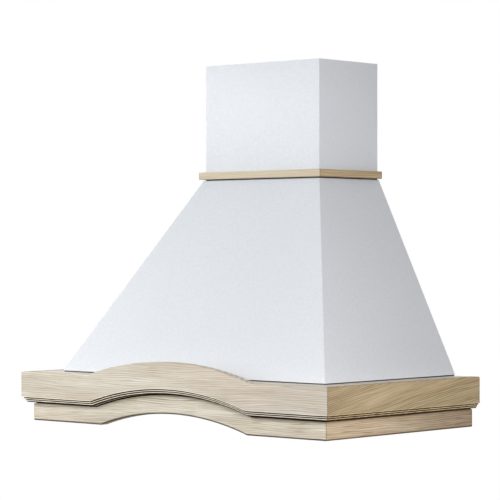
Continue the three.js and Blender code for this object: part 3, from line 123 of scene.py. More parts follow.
class Shader:
    """A node material in the making. A socket given as an input's value is linked to it."""

    def __init__(self, name):
        self.material = bpy.data.materials.new(name)
        self.material.use_nodes = True
        self.tree = self.material.node_tree
        self.surface = self.tree.nodes["Principled BSDF"]

    def node(self, kind, inputs=None, **settings):
        made = self.tree.nodes.new(kind)
        for setting, value in settings.items():
            setattr(made, setting, value)
        for socket, value in (inputs or {}).items():
            self.feed(made.inputs[socket], value)
        return made

    def feed(self, socket, value):
        if isinstance(value, bpy.types.NodeSocket):
            self.tree.links.new(value, socket)
        else:
            socket.default_value = value

    def set(self, **values):
        for socket, value in values.items():
            self.feed(self.surface.inputs[socket.replace("_", " ")], value)

    def math(self, operation, a, b=0.0):
        return self.node("ShaderNodeMath", {0: a, 1: b}, operation=operation).outputs[0]

    def place(self, scale=(1, 1, 1), offset=(0, 0, 0), turn=(0, 0, 0), source=None):
        """Object coordinates, turned, moved and then stretched."""
        if source is None:
            source = self.node("ShaderNodeTexCoord").outputs["Object"]
        turned = self.node(
            "ShaderNodeMapping", {"Vector": source, "Rotation": turn, "Location": offset},
        ).outputs[0]
        return self.node(
            "ShaderNodeMapping", {"Vector": turned, "Scale": scale},
        ).outputs[0]

    def noise(self, vector, scale=1.0, detail=2.0, roughness=0.5, distortion=0.0):
        return self.node("ShaderNodeTexNoise", {
            "Vector": vector,
            "Scale": scale,
            "Detail": detail,
            "Roughness": roughness,
            "Distortion": distortion,
        }).outputs["Fac"]

    def spread(self, value, low, high, to_low=0.0, to_high=1.0):
        return self.node("ShaderNodeMapRange", {
            "Value": value,
            "From Min": low,
            "From Max": high,
            "To Min": to_low,
            "To Max": to_high,
        }).outputs[0]

    def mix(self, share, a, b, blend="MIX"):
        mixer = self.node("ShaderNodeMix", data_type="RGBA", blend_type=blend)
        factor = next(s for s in mixer.inputs if s.name == "Factor" and s.type == "VALUE")
        first = next(s for s in mixer.inputs if s.name == "A" and s.type == "RGBA")
        second = next(s for s in mixer.inputs if s.name == "B" and s.type == "RGBA")
        self.feed(factor, share)
        self.feed(first, a)
        self.feed(second, b)
        return next(s for s in mixer.outputs if s.type == "RGBA")

    def bump(self, height, distance, strength=1.0):
        normal = self.node("ShaderNodeBump", {
            "Height": height, "Distance": distance, "Strength": strength,
        }).outputs[0]
        self.set(Normal=normal)


def colour(red, green, blue):
    """A linear colour from display values of 0 to 255, by the sRGB curve."""
    def linear(value):
        share = value / 255
        return share / 12.92 if share <= 0.04045 else ((share + 0.055) / 1.055) ** 2.4
    return (linear(red), linear(green), linear(blue), 1.0)


# Colours the "groove" attribute multiplies into the wood: painted shade at the bottom of each reed's
# groove, in the shadow gap, in the band under it, on foot edges, undersides and the ring's foot,
# besides the darker lines at the rails' ends, lighter on the sides; and a painted highlight on reed
# crests.
PAINTED_SHADE_COLOUR = (0.045, 0.022, 0.006, 1)
SIDE_PAINTED_SHADE_COLOUR = (0.15, 0.1, 0.06, 1)
CREST_HIGHLIGHT = (1.36, 1.35, 1.33, 1)

# The timber's features per metre: along the grain, through the board and across the grain.
WANDER_STRETCH = (2.2, 9, 9)
BAND_STRETCH = (1.8, 20, 34)
LINE_STRETCH = (3.0, 14, 78)
LINE_PATCH_STRETCH = (2.6, 30, 42)
STREAK_STRETCH = (6, 150, 300)
FIBRE_STRETCH = (26, 700, 1100)
BLOTCH_STRETCH = (3.5, 14, 16)
PORE_STRETCH = (16, 300, 620)

WANDER_REACH = 7 * MM  # how far the grain lines wander up or down
LINE_SHARPNESS = 2.2
BAND_WEIGHT = 0.34
LINE_WEIGHT = 0.7
STREAK_WEIGHT = 0.4
PORE_WEIGHT = 0.5
BLOTCH_TINT = (1.0, 0.95, 0.92, 1)
FIBRE_TINT = (0.9, 0.88, 0.85, 1)
PORE_TINT = (0.62, 0.55, 0.46, 1)
SEED_DIRECTION = (1.0, 0.37, 0.11)
GRAIN_RELIEF = 0.25 * MM


def wood(
    name, light, dark, along_y=False, tilt=0.0, seed=0.0, contrast=1.0, fade=None,
    varnished=False, shade_colour=PAINTED_SHADE_COLOUR,
):
    """Fine-grained timber whose grain runs along X, or along Y, tilted by an angle.

    Seed picks a place in the timber. Fade is (start, end, shade): the board darkens to that
    shade from one place along it to another. The "groove" attribute paints shade in the given
    colour where it is positive, and a highlight on reed crests where it is negative.
    """
    roughness = 0.3 if varnished else 0.6
    shader = Shader(name)
    quarter = -math.pi / 2 if along_y else 0.0
    # Local X runs along the grain, local Z across it and up.
    board = shader.place(turn=(0, 0, quarter))
    offset = tuple(seed * share for share in SEED_DIRECTION)
    grain = shader.place(turn=(0, tilt, 0), offset=offset, source=board)

    wander = shader.noise(shader.place(WANDER_STRETCH, source=grain), detail=3)
    parts = shader.node("ShaderNodeSeparateXYZ", {0: grain})
    shift = shader.spread(wander, 0.3, 0.7, -WANDER_REACH, WANDER_REACH)
    lifted = shader.math("ADD", parts.outputs["Z"], shift)
    warped = shader.node("ShaderNodeCombineXYZ", {
        "X": parts.outputs["X"], "Y": parts.outputs["Y"], "Z": lifted,
    }).outputs[0]

    bands = shader.noise(shader.place(BAND_STRETCH, source=warped), detail=3, roughness=0.55)
    lines = shader.node("ShaderNodeTexWave", {
        "Vector": shader.place(LINE_STRETCH, source=warped),
        "Scale": 1.0,
        "Distortion": 5.0,
        "Detail": 3.0,
        "Detail Scale": 1.0,
        "Detail Roughness": 0.6,
    }, wave_type="BANDS", bands_direction="Z", wave_profile="SAW").outputs["Fac"]
    streaks = shader.noise(shader.place(STREAK_STRETCH, source=warped), detail=3, roughness=0.6)
    fibres = shader.noise(shader.place(FIBRE_STRETCH, source=warped), detail=2)
    blotches = shader.noise(shader.place(BLOTCH_STRETCH, source=grain), detail=2)
    pores = shader.noise(shader.place(PORE_STRETCH, source=warped), detail=1)
    patches = shader.noise(shader.place(LINE_PATCH_STRETCH, source=warped), detail=2)
    presence = shader.spread(patches, 0.34, 0.62, 0.25, 1.0)

    band_share = shader.spread(bands, 0.3, 0.7)
    line_share = shader.math("MULTIPLY", shader.math("POWER", lines, LINE_SHARPNESS), presence)
    streak_share = shader.spread(streaks, 0.32, 0.68)
    blend = shader.math(
        "ADD",
        shader.math("MULTIPLY", band_share, BAND_WEIGHT),
        shader.math(
            "ADD",
            shader.math("MULTIPLY", line_share, LINE_WEIGHT),
            shader.math("MULTIPLY", streak_share, STREAK_WEIGHT),
        ),
    )
    half_range = 0.5 / contrast
    tone = shader.mix(shader.spread(blend, 0.5 - half_range, 0.5 + half_range), light, dark)
    tone = shader.mix(shader.spread(blotches, 0.35, 0.7), tone, BLOTCH_TINT, "MULTIPLY")
    tone = shader.mix(shader.spread(fibres, 0.25, 0.75), tone, FIBRE_TINT, "MULTIPLY")
    pore_share = shader.math("MULTIPLY", shader.spread(pores, 0.58, 0.72), PORE_WEIGHT * contrast)
    tone = shader.mix(pore_share, tone, PORE_TINT, "MULTIPLY")
    if fade:
        start, end, shade = fade
        along = shader.node("ShaderNodeSeparateXYZ", {0: board}).outputs["X"]
        tone = shader.mix(shader.spread(along, start, end), tone, shade, "MULTIPLY")

    # The "groove" attribute: painted shade where it is positive, a painted highlight on reed crests
    # where it is negative.
    groove = shader.node("ShaderNodeAttribute", attribute_name="groove").outputs["Fac"]
    crest = shader.math("MULTIPLY", groove, -1.0)
    highlighted = shader.mix(crest, tone, CREST_HIGHLIGHT, "MULTIPLY")
    tone_with_painted_light = shader.mix(groove, highlighted, shade_colour, "MULTIPLY")
    shader.set(
        Base_Color=tone_with_painted_light,
        Roughness=shader.spread(streaks, 0.2, 0.8, roughness - 0.05, roughness + 0.1),
        Specular_IOR_Level=0.6 if varnished else 0.1,
    )
    relief = shader.math(
        "ADD", shader.math("MULTIPLY", fibres, 0.4), shader.math("MULTIPLY", streaks, 0.6),
    )
    shader.bump(relief, GRAIN_RELIEF, 0.5)
    return shader.material


# Painted shade, and the blur of its edge, for the chimney cover's foot in the shadow gap under the
# ring.
PAINTED_GAP_SHADE = (0.04, 0.04, 0.045, 1)
PAINTED_GAP_BLUR = 0.2 * MM
FAINT_TINT = (0.985, 0.985, 0.985, 1)
RIPPLE_TINT = (0.92, 0.923, 0.927, 1)


def powder_coat(name, tone, shade_height=None):
    """Painted sheet with the fine pebbled skin of powder coating, with painted shade below a given
    height, for the shadow gap under the chimney ring.
    """
    shader = Shader(name)
    pebbles = shader.noise(shader.place(), scale=1400, detail=2)
    ripples = shader.noise(shader.place(), scale=190, detail=3, roughness=0.7)
    clouds = shader.noise(shader.place(), scale=7, detail=2)
    shade = shader.spread(clouds, 0.3, 0.7, 0.0, 1.0)
    paint = shader.mix(shade, tone, FAINT_TINT, "MULTIPLY")
    paint = shader.mix(shader.spread(pebbles, 0.3, 0.7), paint, FAINT_TINT, "MULTIPLY")
    paint = shader.mix(shader.spread(ripples, 0.3, 0.7), paint, RIPPLE_TINT, "MULTIPLY")
    # Painted shade below the given height.
    if shade_height is not None:
        height = shader.node("ShaderNodeSeparateXYZ", {0: shader.place()}).outputs["Z"]
        above = shader.spread(height, shade_height - PAINTED_GAP_BLUR, shade_height + PAINTED_GAP_BLUR)
        paint = shader.mix(above, shader.mix(1.0, paint, PAINTED_GAP_SHADE, "MULTIPLY"), paint)
    shader.set(Base_Color=paint, Roughness=0.5, Specular_IOR_Level=0.35)
    relief = shader.math("ADD", pebbles, shader.math("MULTIPLY", ripples, 3.0))
    shader.bump(relief, 0.12 * MM, 0.35)
    return shader.material


def galvanised(name, tone):
    """Zinc-coated sheet with the faint patches of its crystals."""
    shader = Shader(name)
    crystals = shader.node(
        "ShaderNodeTexVoronoi", {"Vector": shader.place(), "Scale": 95.0}, feature="F1",
    )
    patch = shader.node("ShaderNodeSeparateColor", {0: crystals.outputs["Color"]}).outputs[0]
    clouds = shader.noise(shader.place(), scale=18, detail=3)
    base = shader.mix(shader.math("MULTIPLY", patch, 0.6), tone, (0.78, 0.79, 0.81, 1), "MULTIPLY")
    worn = shader.mix(shader.spread(clouds, 0.35, 0.75), base, (0.86, 0.86, 0.88, 1), "MULTIPLY")
    shader.set(
        Base_Color=worn,
        Metallic=0.7,
        Roughness=shader.spread(patch, 0.0, 1.0, 0.5, 0.66),
    )
    shader.bump(clouds, 0.1 * MM, 0.3)
    return shader.material


def brushed(name, tone, stretch, roughness=0.3):
    """Bare metal with fine brush lines: stretch gives the lines' density along each axis."""
    shader = Shader(name)
    lines = shader.noise(shader.place(stretch), detail=3, roughness=0.6)
    smudges = shader.noise(shader.place(), scale=22, detail=2)
    base = shader.mix(shader.spread(lines, 0.3, 0.7), tone, (0.88, 0.88, 0.89, 1), "MULTIPLY")
    rough = shader.spread(lines, 0.2, 0.8, roughness - 0.06, roughness + 0.1)
    handled = shader.math("ADD", rough, shader.spread(smudges, 0.4, 0.7, 0.0, 0.07))
    shader.set(Base_Color=base, Metallic=0.95, Roughness=handled)
    shader.bump(lines, 0.05 * MM, 0.3)
    return shader.material


def moulded(name, tone, roughness=0.45, grain=900.0):
    """Moulded plastic with a fine spark-eroded grain."""
    shader = Shader(name)
    spark = shader.noise(shader.place(), scale=grain, detail=2)
    clouds = shader.noise(shader.place(), scale=30, detail=2)
    base = shader.mix(shader.spread(clouds, 0.3, 0.7), tone, (0.95, 0.95, 0.95, 1), "MULTIPLY")
    rough = shader.spread(spark, 0.3, 0.7, roughness - 0.05, roughness + 0.07)
    shader.set(Base_Color=base, Roughness=rough, Specular_IOR_Level=0.4)
    shader.bump(spark, 0.05 * MM, 0.4)
    return shader.material


def foam(name, tone):
    """Open foam, lighter between its cells."""
    shader = Shader(name)
    cells = shader.node(
        "ShaderNodeTexVoronoi", {"Vector": shader.place(), "Scale": 900.0}, feature="F1",
    ).outputs["Distance"]
    base = shader.mix(shader.spread(cells, 0.1, 0.6), tone, (1.6, 1.6, 1.6, 1), "MULTIPLY")
    shader.set(Base_Color=base, Roughness=0.9, Specular_IOR_Level=0.2)
    shader.bump(cells, 0.3 * MM, 0.6)
    return shader.material


def frosted(name, tone):
    """Frosted plastic that lets some light through."""
    shader = Shader(name)
    frost = shader.noise(shader.place(), scale=1100, detail=2)
    haze = shader.noise(shader.place(), scale=60, detail=2)
    base = shader.mix(shader.spread(haze, 0.3, 0.7), tone, (0.95, 0.96, 0.96, 1), "MULTIPLY")
    shader.set(
        Base_Color=base,
        Roughness=shader.spread(frost, 0.2, 0.8, 0.25, 0.4),
        Transmission_Weight=0.35,
        IOR=1.5,
    )
    shader.bump(frost, 0.04 * MM, 0.4)
    return shader.material


FRONT_LIGHT = colour(245, 243, 232)
FRONT_DARK = colour(200, 191, 173)
LOWER_FRONT_LIGHT = colour(246, 244, 231)
LOWER_FRONT_DARK = colour(200, 191, 171)
SIDE_LIGHT = colour(220, 207, 173)
SIDE_DARK = colour(162, 143, 106)
LOWER_SIDE_LIGHT = colour(238, 224, 198)
LOWER_SIDE_DARK = colour(188, 168, 138)
SHELF_LIGHT = colour(243, 238, 225)
SHELF_DARK = colour(208, 199, 180)
RING_LIGHT = colour(234, 226, 205)
RING_DARK = colour(190, 178, 152)
RING_SIDE_LIGHT = colour(221, 205, 171)
RING_SIDE_DARK = colour(164, 142, 105)
FRONT_SHADE = (0.9, 0.89, 0.9, 1)
SIDE_SHADE = (0.82, 0.78, 0.77, 1)
REAR_SHADE = (0.63, 0.6, 0.59, 1)
WHITE_PAINT = colour(229, 234, 239)

MATERIALS = {
    "upper_front": wood(
        "timber_upper_front", FRONT_LIGHT, FRONT_DARK, seed=0.0, contrast=1.15,
        fade=(0.0, 0.42, FRONT_SHADE),
    ),
    "lower_front": wood(
        "timber_lower_front", LOWER_FRONT_LIGHT, LOWER_FRONT_DARK, seed=3.1, contrast=1.8,
    ),
    "upper_side": wood(
        "timber_upper_side", SIDE_LIGHT, SIDE_DARK, along_y=True,
        tilt=math.radians(9), seed=5.3, contrast=1.25, fade=(-0.38, -0.52, SIDE_SHADE),
        shade_colour=SIDE_PAINTED_SHADE_COLOUR,
    ),
    "lower_side": wood(
        "timber_lower_side", LOWER_SIDE_LIGHT, LOWER_SIDE_DARK, along_y=True, seed=8.9,
        contrast=1.8, fade=(-0.34, 0.0, REAR_SHADE), shade_colour=SIDE_PAINTED_SHADE_COLOUR,
    ),
    "shelf_front": wood("timber_shelf_front", SHELF_LIGHT, SHELF_DARK, seed=12.7, varnished=True),
    "shelf_side": wood(
        "timber_shelf_side", SHELF_LIGHT, SHELF_DARK, along_y=True, seed=14.2, varnished=True,
    ),
    "ring_front": wood("timber_ring_front", RING_LIGHT, RING_DARK, seed=17.5, contrast=0.8),
    "ring_side": wood("timber_ring_side", RING_SIDE_LIGHT, RING_SIDE_DARK, along_y=True, seed=19.4),
    "block": wood("timber_block", SIDE_LIGHT, SIDE_DARK, seed=23.0),
    "paint": powder_coat("white_powder_coat", WHITE_PAINT),
    # Painted shade on the cover's foot, in the shadow gap under the ring.
    "chimney_paint_gap_shade": powder_coat(
        "chimney_powder_coat_gap_shade", WHITE_PAINT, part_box("chimney_ring_front")[0].z,
    ),
    "zinc": galvanised("galvanised_sheet", colour(182, 186, 189)),
    "steel": brushed("bright_steel", colour(214, 215, 216), stretch=(700, 700, 60)),
    "aluminium": brushed(
        "mill_aluminium", colour(222, 224, 227), stretch=(40, 800, 800), roughness=0.36,
    ),
    "foil": brushed(
        "mesh_aluminium", colour(214, 217, 221), stretch=(900, 900, 200), roughness=0.42,
    ),
    "white_plastic": moulded("white_plastic", colour(236, 236, 233)),
    "grey_plastic": moulded("grey_plastic", colour(166, 168, 170)),
    "black_plastic": moulded("black_plastic", colour(44, 45, 47), roughness=0.5, grain=600.0),
    "foam": foam("grey_foam", colour(110, 110, 112)),
    "lens": frosted("frosted_lens", colour(246, 247, 247)),
}

# ---------------------------------------------------------------- shape helpers

SHARP_ANGLE = math.radians(35)
EASED_ANGLE = math.radians(40)  # edges that turn more than this are eased
FLAT_ANGLE = math.radians(0.5)  # faces that turn less than this are one flat
SAME_POINT = 1e-6  # a node's points that lie closer than this are one
POLE_GAP = 1e-7  # points on a turned piece's axis that lie closer than this are one


def new_object(name, mesh, finish):
    piece = bpy.data.objects.new(name, mesh)
    bpy.context.scene.collection.objects.link(piece)
    mesh.materials.clear()
    mesh.materials.append(MATERIALS[finish])
    return piece


def smooth_but_for_edges(mesh):
    mesh.polygons.foreach_set("use_smooth", [True] * len(mesh.polygons))
    mesh.set_sharp_from_angle(angle=SHARP_ANGLE)


def closed_piece(name, points, faces, finish, painted_light_values=None):
    """A closed solid from points and faces, with an optional darkness for each point, kept as the
    "groove" attribute: mostly painted shade where it is positive, a painted highlight where it is
    negative.
    """
    mesh = bpy.data.meshes.new(name)
    mesh.from_pydata([tuple(point) for point in points], [], faces)
    if painted_light_values:
        layer = mesh.attributes.new("groove", "FLOAT", "POINT")
        layer.data.foreach_set("value", painted_light_values)
    shape = bmesh.new()
    shape.from_mesh(mesh)
    bmesh.ops.recalc_face_normals(shape, faces=shape.faces[:])
    shape.to_mesh(mesh)
    shape.free()
    smooth_but_for_edges(mesh)
    return new_object(name, mesh, finish)


def loft_faces(rings, count):
    """Quads between rings of equally many points, and a face over either end."""
    faces = []
    for ring in range(rings - 1):
        for point in range(count):
            here = ring * count + point
            beside = ring * count + (point + 1) % count
            faces.append((here, beside, beside + count, here + count))
    faces.append(tuple(range(count)))
    faces.append(tuple(range((rings - 1) * count, rings * count)))
    return faces


def turned(name, profile, centre, finish, sides=64):
    """Turns a closed profile of (radius, height) about an upright axis through centre."""
    points = []
    for side in range(sides):
        angle = 2 * math.pi * side / sides
        points += [
            (centre[0] + r * math.cos(angle), centre[1] + r * math.sin(angle), centre[2] + z)
            for r, z in profile
        ]
    count = len(profile)
    faces = []
    for side in range(sides):
        after = (side + 1) % sides
        for point in range(count):
            beside = (point + 1) % count
            faces.append((
                side * count + point, after * count + point,
                after * count + beside, side * count + beside,
            ))
    piece = closed_piece(name, points, faces, finish)
    shape = bmesh.new()
    shape.from_mesh(piece.data)
    bmesh.ops.remove_doubles(shape, verts=shape.verts[:], dist=POLE_GAP)
    shape.to_mesh(piece.data)
    shape.free()
    smooth_but_for_edges(piece.data)
    return piece


def settle(piece):
    """Puts a piece's modifiers into its mesh."""
    bpy.context.view_layer.update()
    graph = bpy.context.evaluated_depsgraph_get()
    mesh = bpy.data.meshes.new_from_object(piece.evaluated_get(graph))
    piece.modifiers.clear()
    piece.data = mesh
    smooth_but_for_edges(mesh)


def sheet_metal(name, points, faces, finish, bend):
    """Folded sheet whose outer surface is given: bends are rounded, thickness goes inwards."""
    mesh = bpy.data.meshes.new(name)
    mesh.from_pydata([tuple(point) for point in points], [], faces)
    shape = bmesh.new()
    shape.from_mesh(mesh)
    bmesh.ops.recalc_face_normals(shape, faces=shape.faces[:])
    middle = sum((v.co for v in shape.verts), Vector()) / len(shape.verts)
    outward = sum(
        face.normal.dot(face.calc_center_median() - middle) * face.calc_area()
        for face in shape.faces
    )
    if outward < 0:
        bmesh.ops.reverse_faces(shape, faces=shape.faces[:])
    shape.to_mesh(mesh)
    shape.free()
    piece = new_object(name, mesh, finish)
    bends = piece.modifiers.new("bends", "BEVEL")
    bends.width = bend
    bends.segments = BEND_STEPS
    bends.limit_method = "ANGLE"
    bends.angle_limit = BEND_ANGLE
    body = piece.modifiers.new("thickness", "SOLIDIFY")
    body.thickness = SHEET
    body.offset = -1
    body.use_even_offset = True
    rims = piece.modifiers.new("rims", "BEVEL")
    rims.width = RIM_RADIUS
    rims.segments = 2
    rims.limit_method = "ANGLE"
    rims.angle_limit = RIM_ANGLE
    settle(piece)
    return piece


def stands_for(piece, node):
    """Puts a piece in a node's place, on that node's body."""
    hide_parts(node)
    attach(piece, BODY_OF[node])
    return piece


def carry(node, finish, bevel):
    """Shows a node as it is, with its edges eased and a detailed finish."""
    shown = frame["nodes"][node]
    shown.data.materials.clear()
    shown.data.materials.append(MATERIALS[finish])
    shown.data.polygons.foreach_set("use_smooth", [True] * len(shown.data.polygons))
    weld = shown.modifiers.new("weld", "WELD")
    weld.merge_threshold = SAME_POINT
    flats = shown.modifiers.new("flats", "DECIMATE")
    flats.decimate_type = "DISSOLVE"
    flats.angle_limit = FLAT_ANGLE
    if bevel:
        eased = shown.modifiers.new("eased", "BEVEL")
        eased.width = bevel
        eased.segments = 2
        eased.limit_method = "ANGLE"
        eased.angle_limit = EASED_ANGLE
        eased.use_clamp_overlap = True
    shading = shown.modifiers.new("shading", "WEIGHTED_NORMAL")
    shading.weight = 80
    shading.keep_sharp = False
    return shown


BODY_OF = {
    node: body
    for body, nodes in frame["record"]["behaviour"]["bodies"].items()
    for node in nodes
}

# ---------------------------------------------------------------- cornice

SHELF_BEVEL = 0.6 * MM
ARCH_CENTRE = ARCH_RISE - ARCH_RADIUS
WIDTH = 2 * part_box("upper_rail_right")[1].x
DEPTH = -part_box("upper_rail_front")[0].y
SETBACK = RAIL_THICKNESS + CLEARANCE
LOWER_WIDTH = WIDTH - 2 * SETBACK
LOWER_DEPTH = DEPTH - SETBACK
LOWER_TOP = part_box("lower_rail_front")[1].z + HANGER_HEIGHT
MITRE_GAP = CLEARANCE / math.sqrt(2)


def arched_edge(level, rise, x):
    """Height of an edge that is level and rises over the arch by a rise at its middle."""
    radius = level + rise - ARCH_CENTRE
    over = min(abs(x), radius)
    return max(level, ARCH_CENTRE + math.sqrt(radius * radius - over * over))


def arch_half_span(level, rise):
    """How far from the middle an arched edge leaves its level."""
    radius = level + rise - ARCH_CENTRE
    return math.sqrt(radius * radius - (level - ARCH_CENTRE) ** 2)


def arc(depth, height, radius, start, end, steps):
    """Points of an arc in the plane of depth and height."""
    return [
        (
            depth + radius * math.cos(start + (end - start) * step / steps),
            height + radius * math.sin(start + (end - start) * step / steps),
        )
        for step in range(steps + 1)
    ]


def reeds(foot):
    """The reeded moulding's points from face to foot, and each point's painted light: painted shade
    down in each groove, a painted highlight on each crest.
    """
    step_in = MOULDING_DEPTH / REED_COUNT
    step_down = MOULDING_HEIGHT / REED_COUNT
    shape = []
    for reed in range(REED_COUNT):
        reach = GROOVE_REACH if reed < REED_COUNT - 1 else 1.0
        groove = [(REED_OUTLINE[-1][0], reach, 1.0), (1.0, reach, 1.0)]
        shape += [(reed + down, reed + into, dark) for down, into, dark in REED_OUTLINE + groove]
    points = [(into * step_in, foot + MOULDING_HEIGHT - down * step_down) for down, into, _ in shape]
    return points, [dark for _, _, dark in shape]


def upper_profile(foot, top):
    """An upper rail's section, rounded at the top of its face and reeded at the foot."""
    round_edge = arc(EDGE_RADIUS, top - EDGE_RADIUS, EDGE_RADIUS, math.pi / 2, math.pi, EDGE_STEPS)
    moulding, darkness = reeds(foot)
    points = [(RAIL_THICKNESS, foot), (RAIL_THICKNESS, top), *round_edge, *moulding]
    return points, [0.0] * (2 + len(round_edge)) + darkness


def lower_profile(foot, top, cover):
    """A lower rail's section, with a shadow gap under the upper rail, whose foot is cover, and
    painted shade in that gap, in a band under it, along the foot edge and on the underside.
    """
    round_edge = arc(
        EDGE_RADIUS, foot + EDGE_RADIUS, EDGE_RADIUS, math.pi, 1.5 * math.pi, EDGE_STEPS,
    )
    gap_foot = cover - REVEAL_HEIGHT
    line_top = foot + EDGE_RADIUS + FOOT_LINE
    gap = [(0.0, cover), (REVEAL_DEPTH, cover), (REVEAL_DEPTH, gap_foot), (0.0, gap_foot)]
    face = [(0.0, gap_foot - SHADOW_BAND_HEIGHT), (0.0, line_top)]
    points = [(RAIL_THICKNESS, foot), (RAIL_THICKNESS, top), (0.0, top), *gap, *face, *round_edge]
    gap_darkness = [GAP_EDGE_SHADE, GAP_SHADE, GAP_SHADE, SHADOW_BAND_SHADE]
    darkness = [UNDERSIDE_SHADE, 0.0, 0.0, *gap_darkness, 0.0, 0.0]
    return points, darkness + [FOOT_SHADE] * EDGE_STEPS + [UNDERSIDE_SHADE]


def boxed_profile(thickness, foot, top):
    """A rectangular section with eased front edges, with painted shade along its lower front edge,
    over its underside and fading up its back.
    """
    radius = RING_EDGE_RADIUS
    upper = arc(radius, top - radius, radius, math.pi / 2, math.pi, RING_EDGE_STEPS)
    lower = arc(radius, foot + radius, radius, math.pi, 1.5 * math.pi, RING_EDGE_STEPS)
    line = [(0.0, foot + radius + RING_LINE)]
    points = [(thickness, foot), (thickness, top), *upper, *line, *lower]
    return points, [1.0, 0.0] + [0.0] * (len(upper) + len(line)) + [RING_SHADE] * len(lower)


def arch_stations(length, spans):
    """Places along an arched rail where its section is drawn, close together over the arch."""
    inner = min(spans)
    offsets = [sign * span for span in spans if span > inner for sign in (-1, 1)]
    offsets += [inner * (2 * step / ARCH_STEPS - 1) for step in range(ARCH_STEPS + 1)]
    return [length / 2 + offset for offset in sorted(offsets)]


def place_on_side(side, half, depth):
    """How a rail drawn along X from 0, face at y = 0, comes to its side of the cornice."""
    if side == "front":
        return lambda x, d, z: (x - half, d - depth, z - HANGER_HEIGHT)
    if side == "left":
        return lambda x, d, z: (d - half, -x, z - HANGER_HEIGHT)
    return lambda x, d, z: (half - d, x - depth, z - HANGER_HEIGHT)


# Whether a rail is mitred at its start and at its end.
MITRES = {"front": (True, True), "left": (False, True), "right": (True, False)}


def rail(name, side, half, depth, stations, profile_at, finish):
    """A rail, mitred or square at either end, with a darker line just inside its ends."""
    length = 2 * half if side == "front" else depth
    start, end = MITRES[side]
    start_line = JOINT_LINE if start else END_LINE
    end_line = JOINT_LINE if end else END_LINE
    cuts = [
        (0.0, start, False, 0.0), (ARRIS, start, False, JOINT_SHADE), (start_line, start, False, 0.0),
    ]
    cuts += [(x, False, False, 0.0) for x in stations]
    cuts += [
        (length - end_line, False, end, 0.0), (length - ARRIS, False, end, JOINT_SHADE),
        (length, False, end, 0.0),
    ]
    place = place_on_side(side, half, depth)
    points = []
    painted_light_values = []
    for x, follows_start, follows_end, at_end in cuts:
        profile, darkness = profile_at(x)
        for (d, z), dark in zip(profile, darkness):
            shift = (d + MITRE_GAP) * (int(follows_start) - int(follows_end))
            points.append(place(x + shift, d, z))
            painted_light_values.append(max(dark, at_end) if at_end else dark)
    return closed_piece(name, points, loft_faces(len(cuts), len(profile)), finish, painted_light_values)


def upper_foot(x):
    return arched_edge(LOWER_REVEAL, UPPER_ARCH_RISE, x)


def make_cornice():
    crest_span = arch_half_span(SHELF_HEIGHT, CREST_RISE)
    upper_span = arch_half_span(LOWER_REVEAL, UPPER_ARCH_RISE)
    lower_span = arch_half_span(0.0, ARCH_RISE)
    half = WIDTH / 2
    lower_half = LOWER_WIDTH / 2
    upper_stations = arch_stations(WIDTH, [upper_span, crest_span])
    lower_stations = arch_stations(LOWER_WIDTH, [lower_span, upper_span])

    def upper_front(x):
        over = x - half
        return upper_profile(upper_foot(over), arched_edge(SHELF_HEIGHT, CREST_RISE, over))

    def lower_front(x):
        over = x - lower_half
        return lower_profile(arched_edge(0.0, ARCH_RISE, over), LOWER_TOP, upper_foot(over))

    for side in MITRES:
        front = side == "front"
        upper = rail(
            f"cornice_upper_{side}", side, half, DEPTH,
            upper_stations if front else [],
            upper_front if front else lambda x: upper_profile(LOWER_REVEAL, SHELF_HEIGHT),
            "upper_front" if front else "upper_side",
        )
        stands_for(upper, f"upper_rail_{side}")
        lower = rail(
            f"cornice_lower_{side}", side, lower_half, LOWER_DEPTH,
            lower_stations if front else [],
            lower_front if front else lambda x: lower_profile(0.0, LOWER_TOP, LOWER_REVEAL),
            "lower_front" if front else "lower_side",
        )
        stands_for(lower, f"lower_rail_{side}")
        carry(f"shelf_{side}", "shelf_front" if front else "shelf_side", SHELF_BEVEL)


def make_ring():
    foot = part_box("chimney_ring_front")[0].z + HANGER_HEIGHT - RING_LIP
    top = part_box("chimney_ring_front")[1].z + HANGER_HEIGHT
    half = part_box("chimney_ring_right")[1].x
    depth = -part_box("chimney_ring_front")[0].y
    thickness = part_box("chimney_ring_front")[1].y + depth
    for side in MITRES:
        front = side == "front"
        piece = rail(
            f"ring_{side}", side, half, depth, [],
            lambda x: boxed_profile(thickness, foot, top),
            "ring_front" if front else "ring_side",
        )
        stands_for(piece, f"chimney_ring_{side}")

# ---------------------------------------------------------------- sheet metal

CANOPY_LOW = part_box("canopy_shell")[0]
CANOPY_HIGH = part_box("canopy_shell")[1]
CHIMNEY_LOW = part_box("chimney_cover")[0]
CHIMNEY_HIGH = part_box("chimney_cover")[1]
CANOPY_LIP = 3.5 * MM
CANOPY_TOP_HALF = CHIMNEY_HIGH.x + CANOPY_LIP
CANOPY_TOP_FRONT = CHIMNEY_LOW.y - CANOPY_LIP


